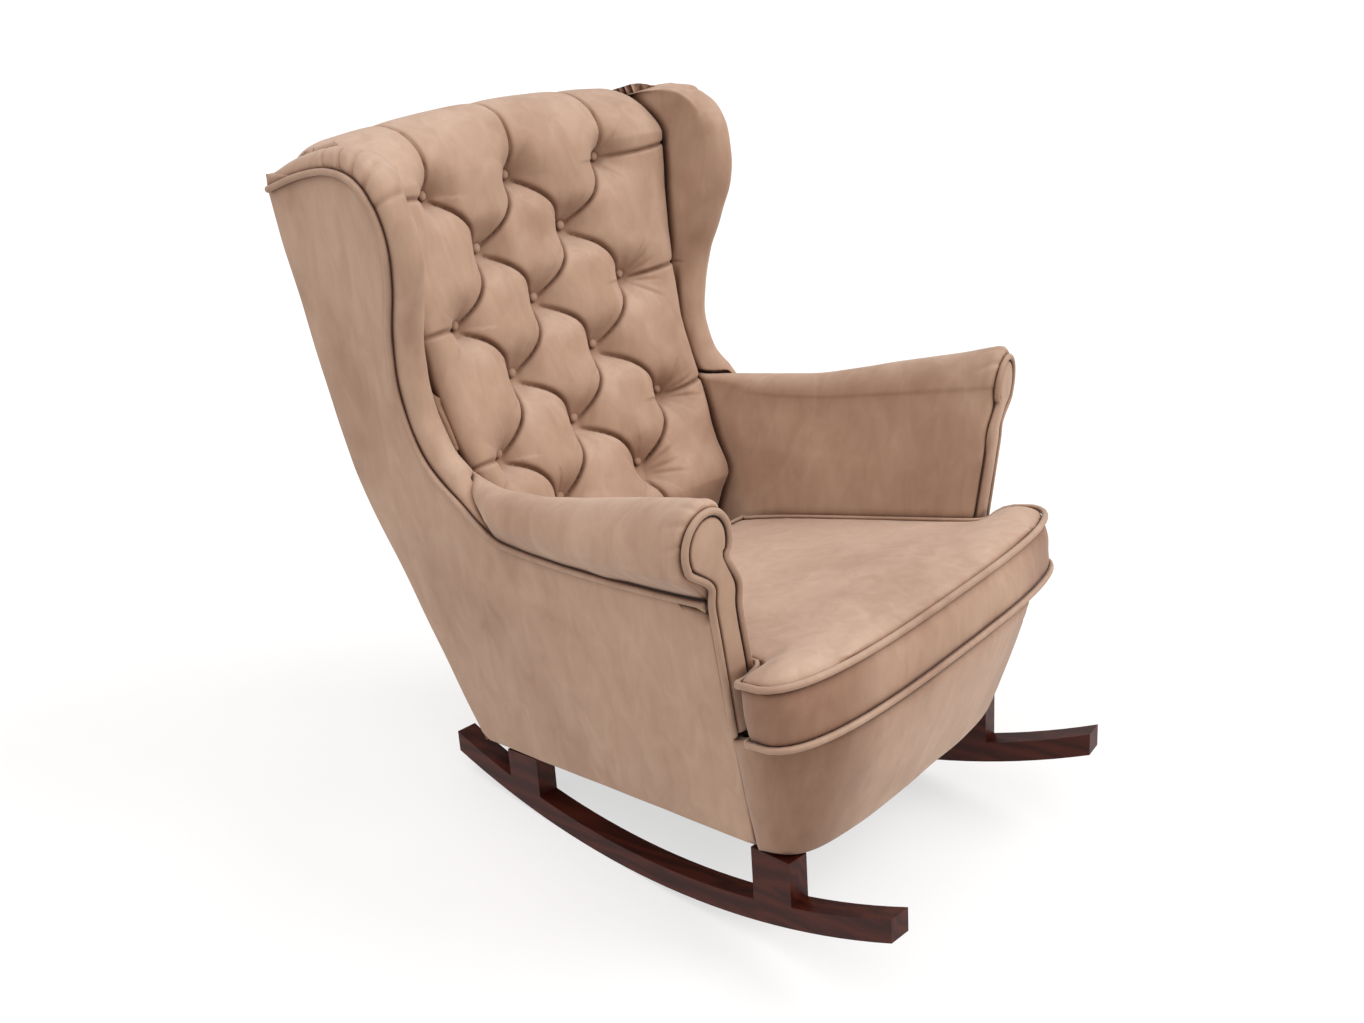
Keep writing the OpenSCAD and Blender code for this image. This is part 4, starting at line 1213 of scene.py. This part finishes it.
def sun(name, azimuth, elevation, strength, angle, rgb):
    light = bpy.data.lights.new(name, "SUN")
    light.energy = strength
    light.angle = math.radians(angle)
    light.color = rgb
    o = bpy.data.objects.new(name, light)
    a, e = math.radians(azimuth), math.radians(elevation)
    towards = Vector((math.sin(a) * math.cos(e), -math.cos(a) * math.cos(e), math.sin(e)))
    o.rotation_euler = towards.to_track_quat("Z", "Y").to_euler()
    scene.collection.objects.link(o)


# azimuth runs from the chair's front (0) towards its left (+90)
sun("key", 38, 42, 1.7, 35, (1.0, 0.98, 0.96))
sun("fill", -100, 12, 0.15, 60, (1.0, 0.98, 0.96))
sun("top", -75, 68, 1.5, 60, (1.0, 0.99, 0.98))

world = bpy.data.worlds.new("studio")
world.use_nodes = True
scene.world = world
tree = world.node_tree
tree.nodes.clear()
out = tree.nodes.new("ShaderNodeOutputWorld")
seen = tree.nodes.new("ShaderNodeBackground")
seen.inputs["Color"].default_value = (1, 1, 1, 1)
seen.inputs["Strength"].default_value = 1.0
ambient = tree.nodes.new("ShaderNodeBackground")
ambient.inputs["Color"].default_value = (1.0, 0.97, 0.95, 1)
ambient.inputs["Strength"].default_value = 0.55
path_node = tree.nodes.new("ShaderNodeLightPath")
mix = tree.nodes.new("ShaderNodeMixShader")
tree.links.new(path_node.outputs["Is Camera Ray"], mix.inputs[0])
tree.links.new(ambient.outputs[0], mix.inputs[1])
tree.links.new(seen.outputs[0], mix.inputs[2])
tree.links.new(mix.outputs[0], out.inputs["Surface"])

# Camera: found on the level chair, and leaned with it
CAMERA_AT = (-1.6313, -1.3003, 1.2467)
SENSOR, LENS = 36, 42.1266
azimuth, pitch, roll = (math.radians(a) for a in (-50.187, 20.709, -3.884))
back_dir = Vector(
    (math.sin(azimuth) * math.cos(pitch), -math.cos(azimuth) * math.cos(pitch), math.sin(pitch))
)
right_dir = Vector((math.cos(azimuth), math.sin(azimuth), 0))
up_dir = back_dir.cross(right_dir)
r2 = right_dir * math.cos(roll) + up_dir * math.sin(roll)
u2 = up_dir * math.cos(roll) - right_dir * math.sin(roll)
camera_data = bpy.data.cameras.new("camera")
camera_data.lens = LENS
camera_data.sensor_width = SENSOR
camera_data.clip_end = 200
camera = bpy.data.objects.new("camera", camera_data)
turn = Matrix((r2, u2, back_dir)).transposed().to_4x4()
camera.matrix_world = LEAN @ Matrix.Translation(CAMERA_AT) @ turn
scene.collection.objects.link(camera)
scene.camera = camera
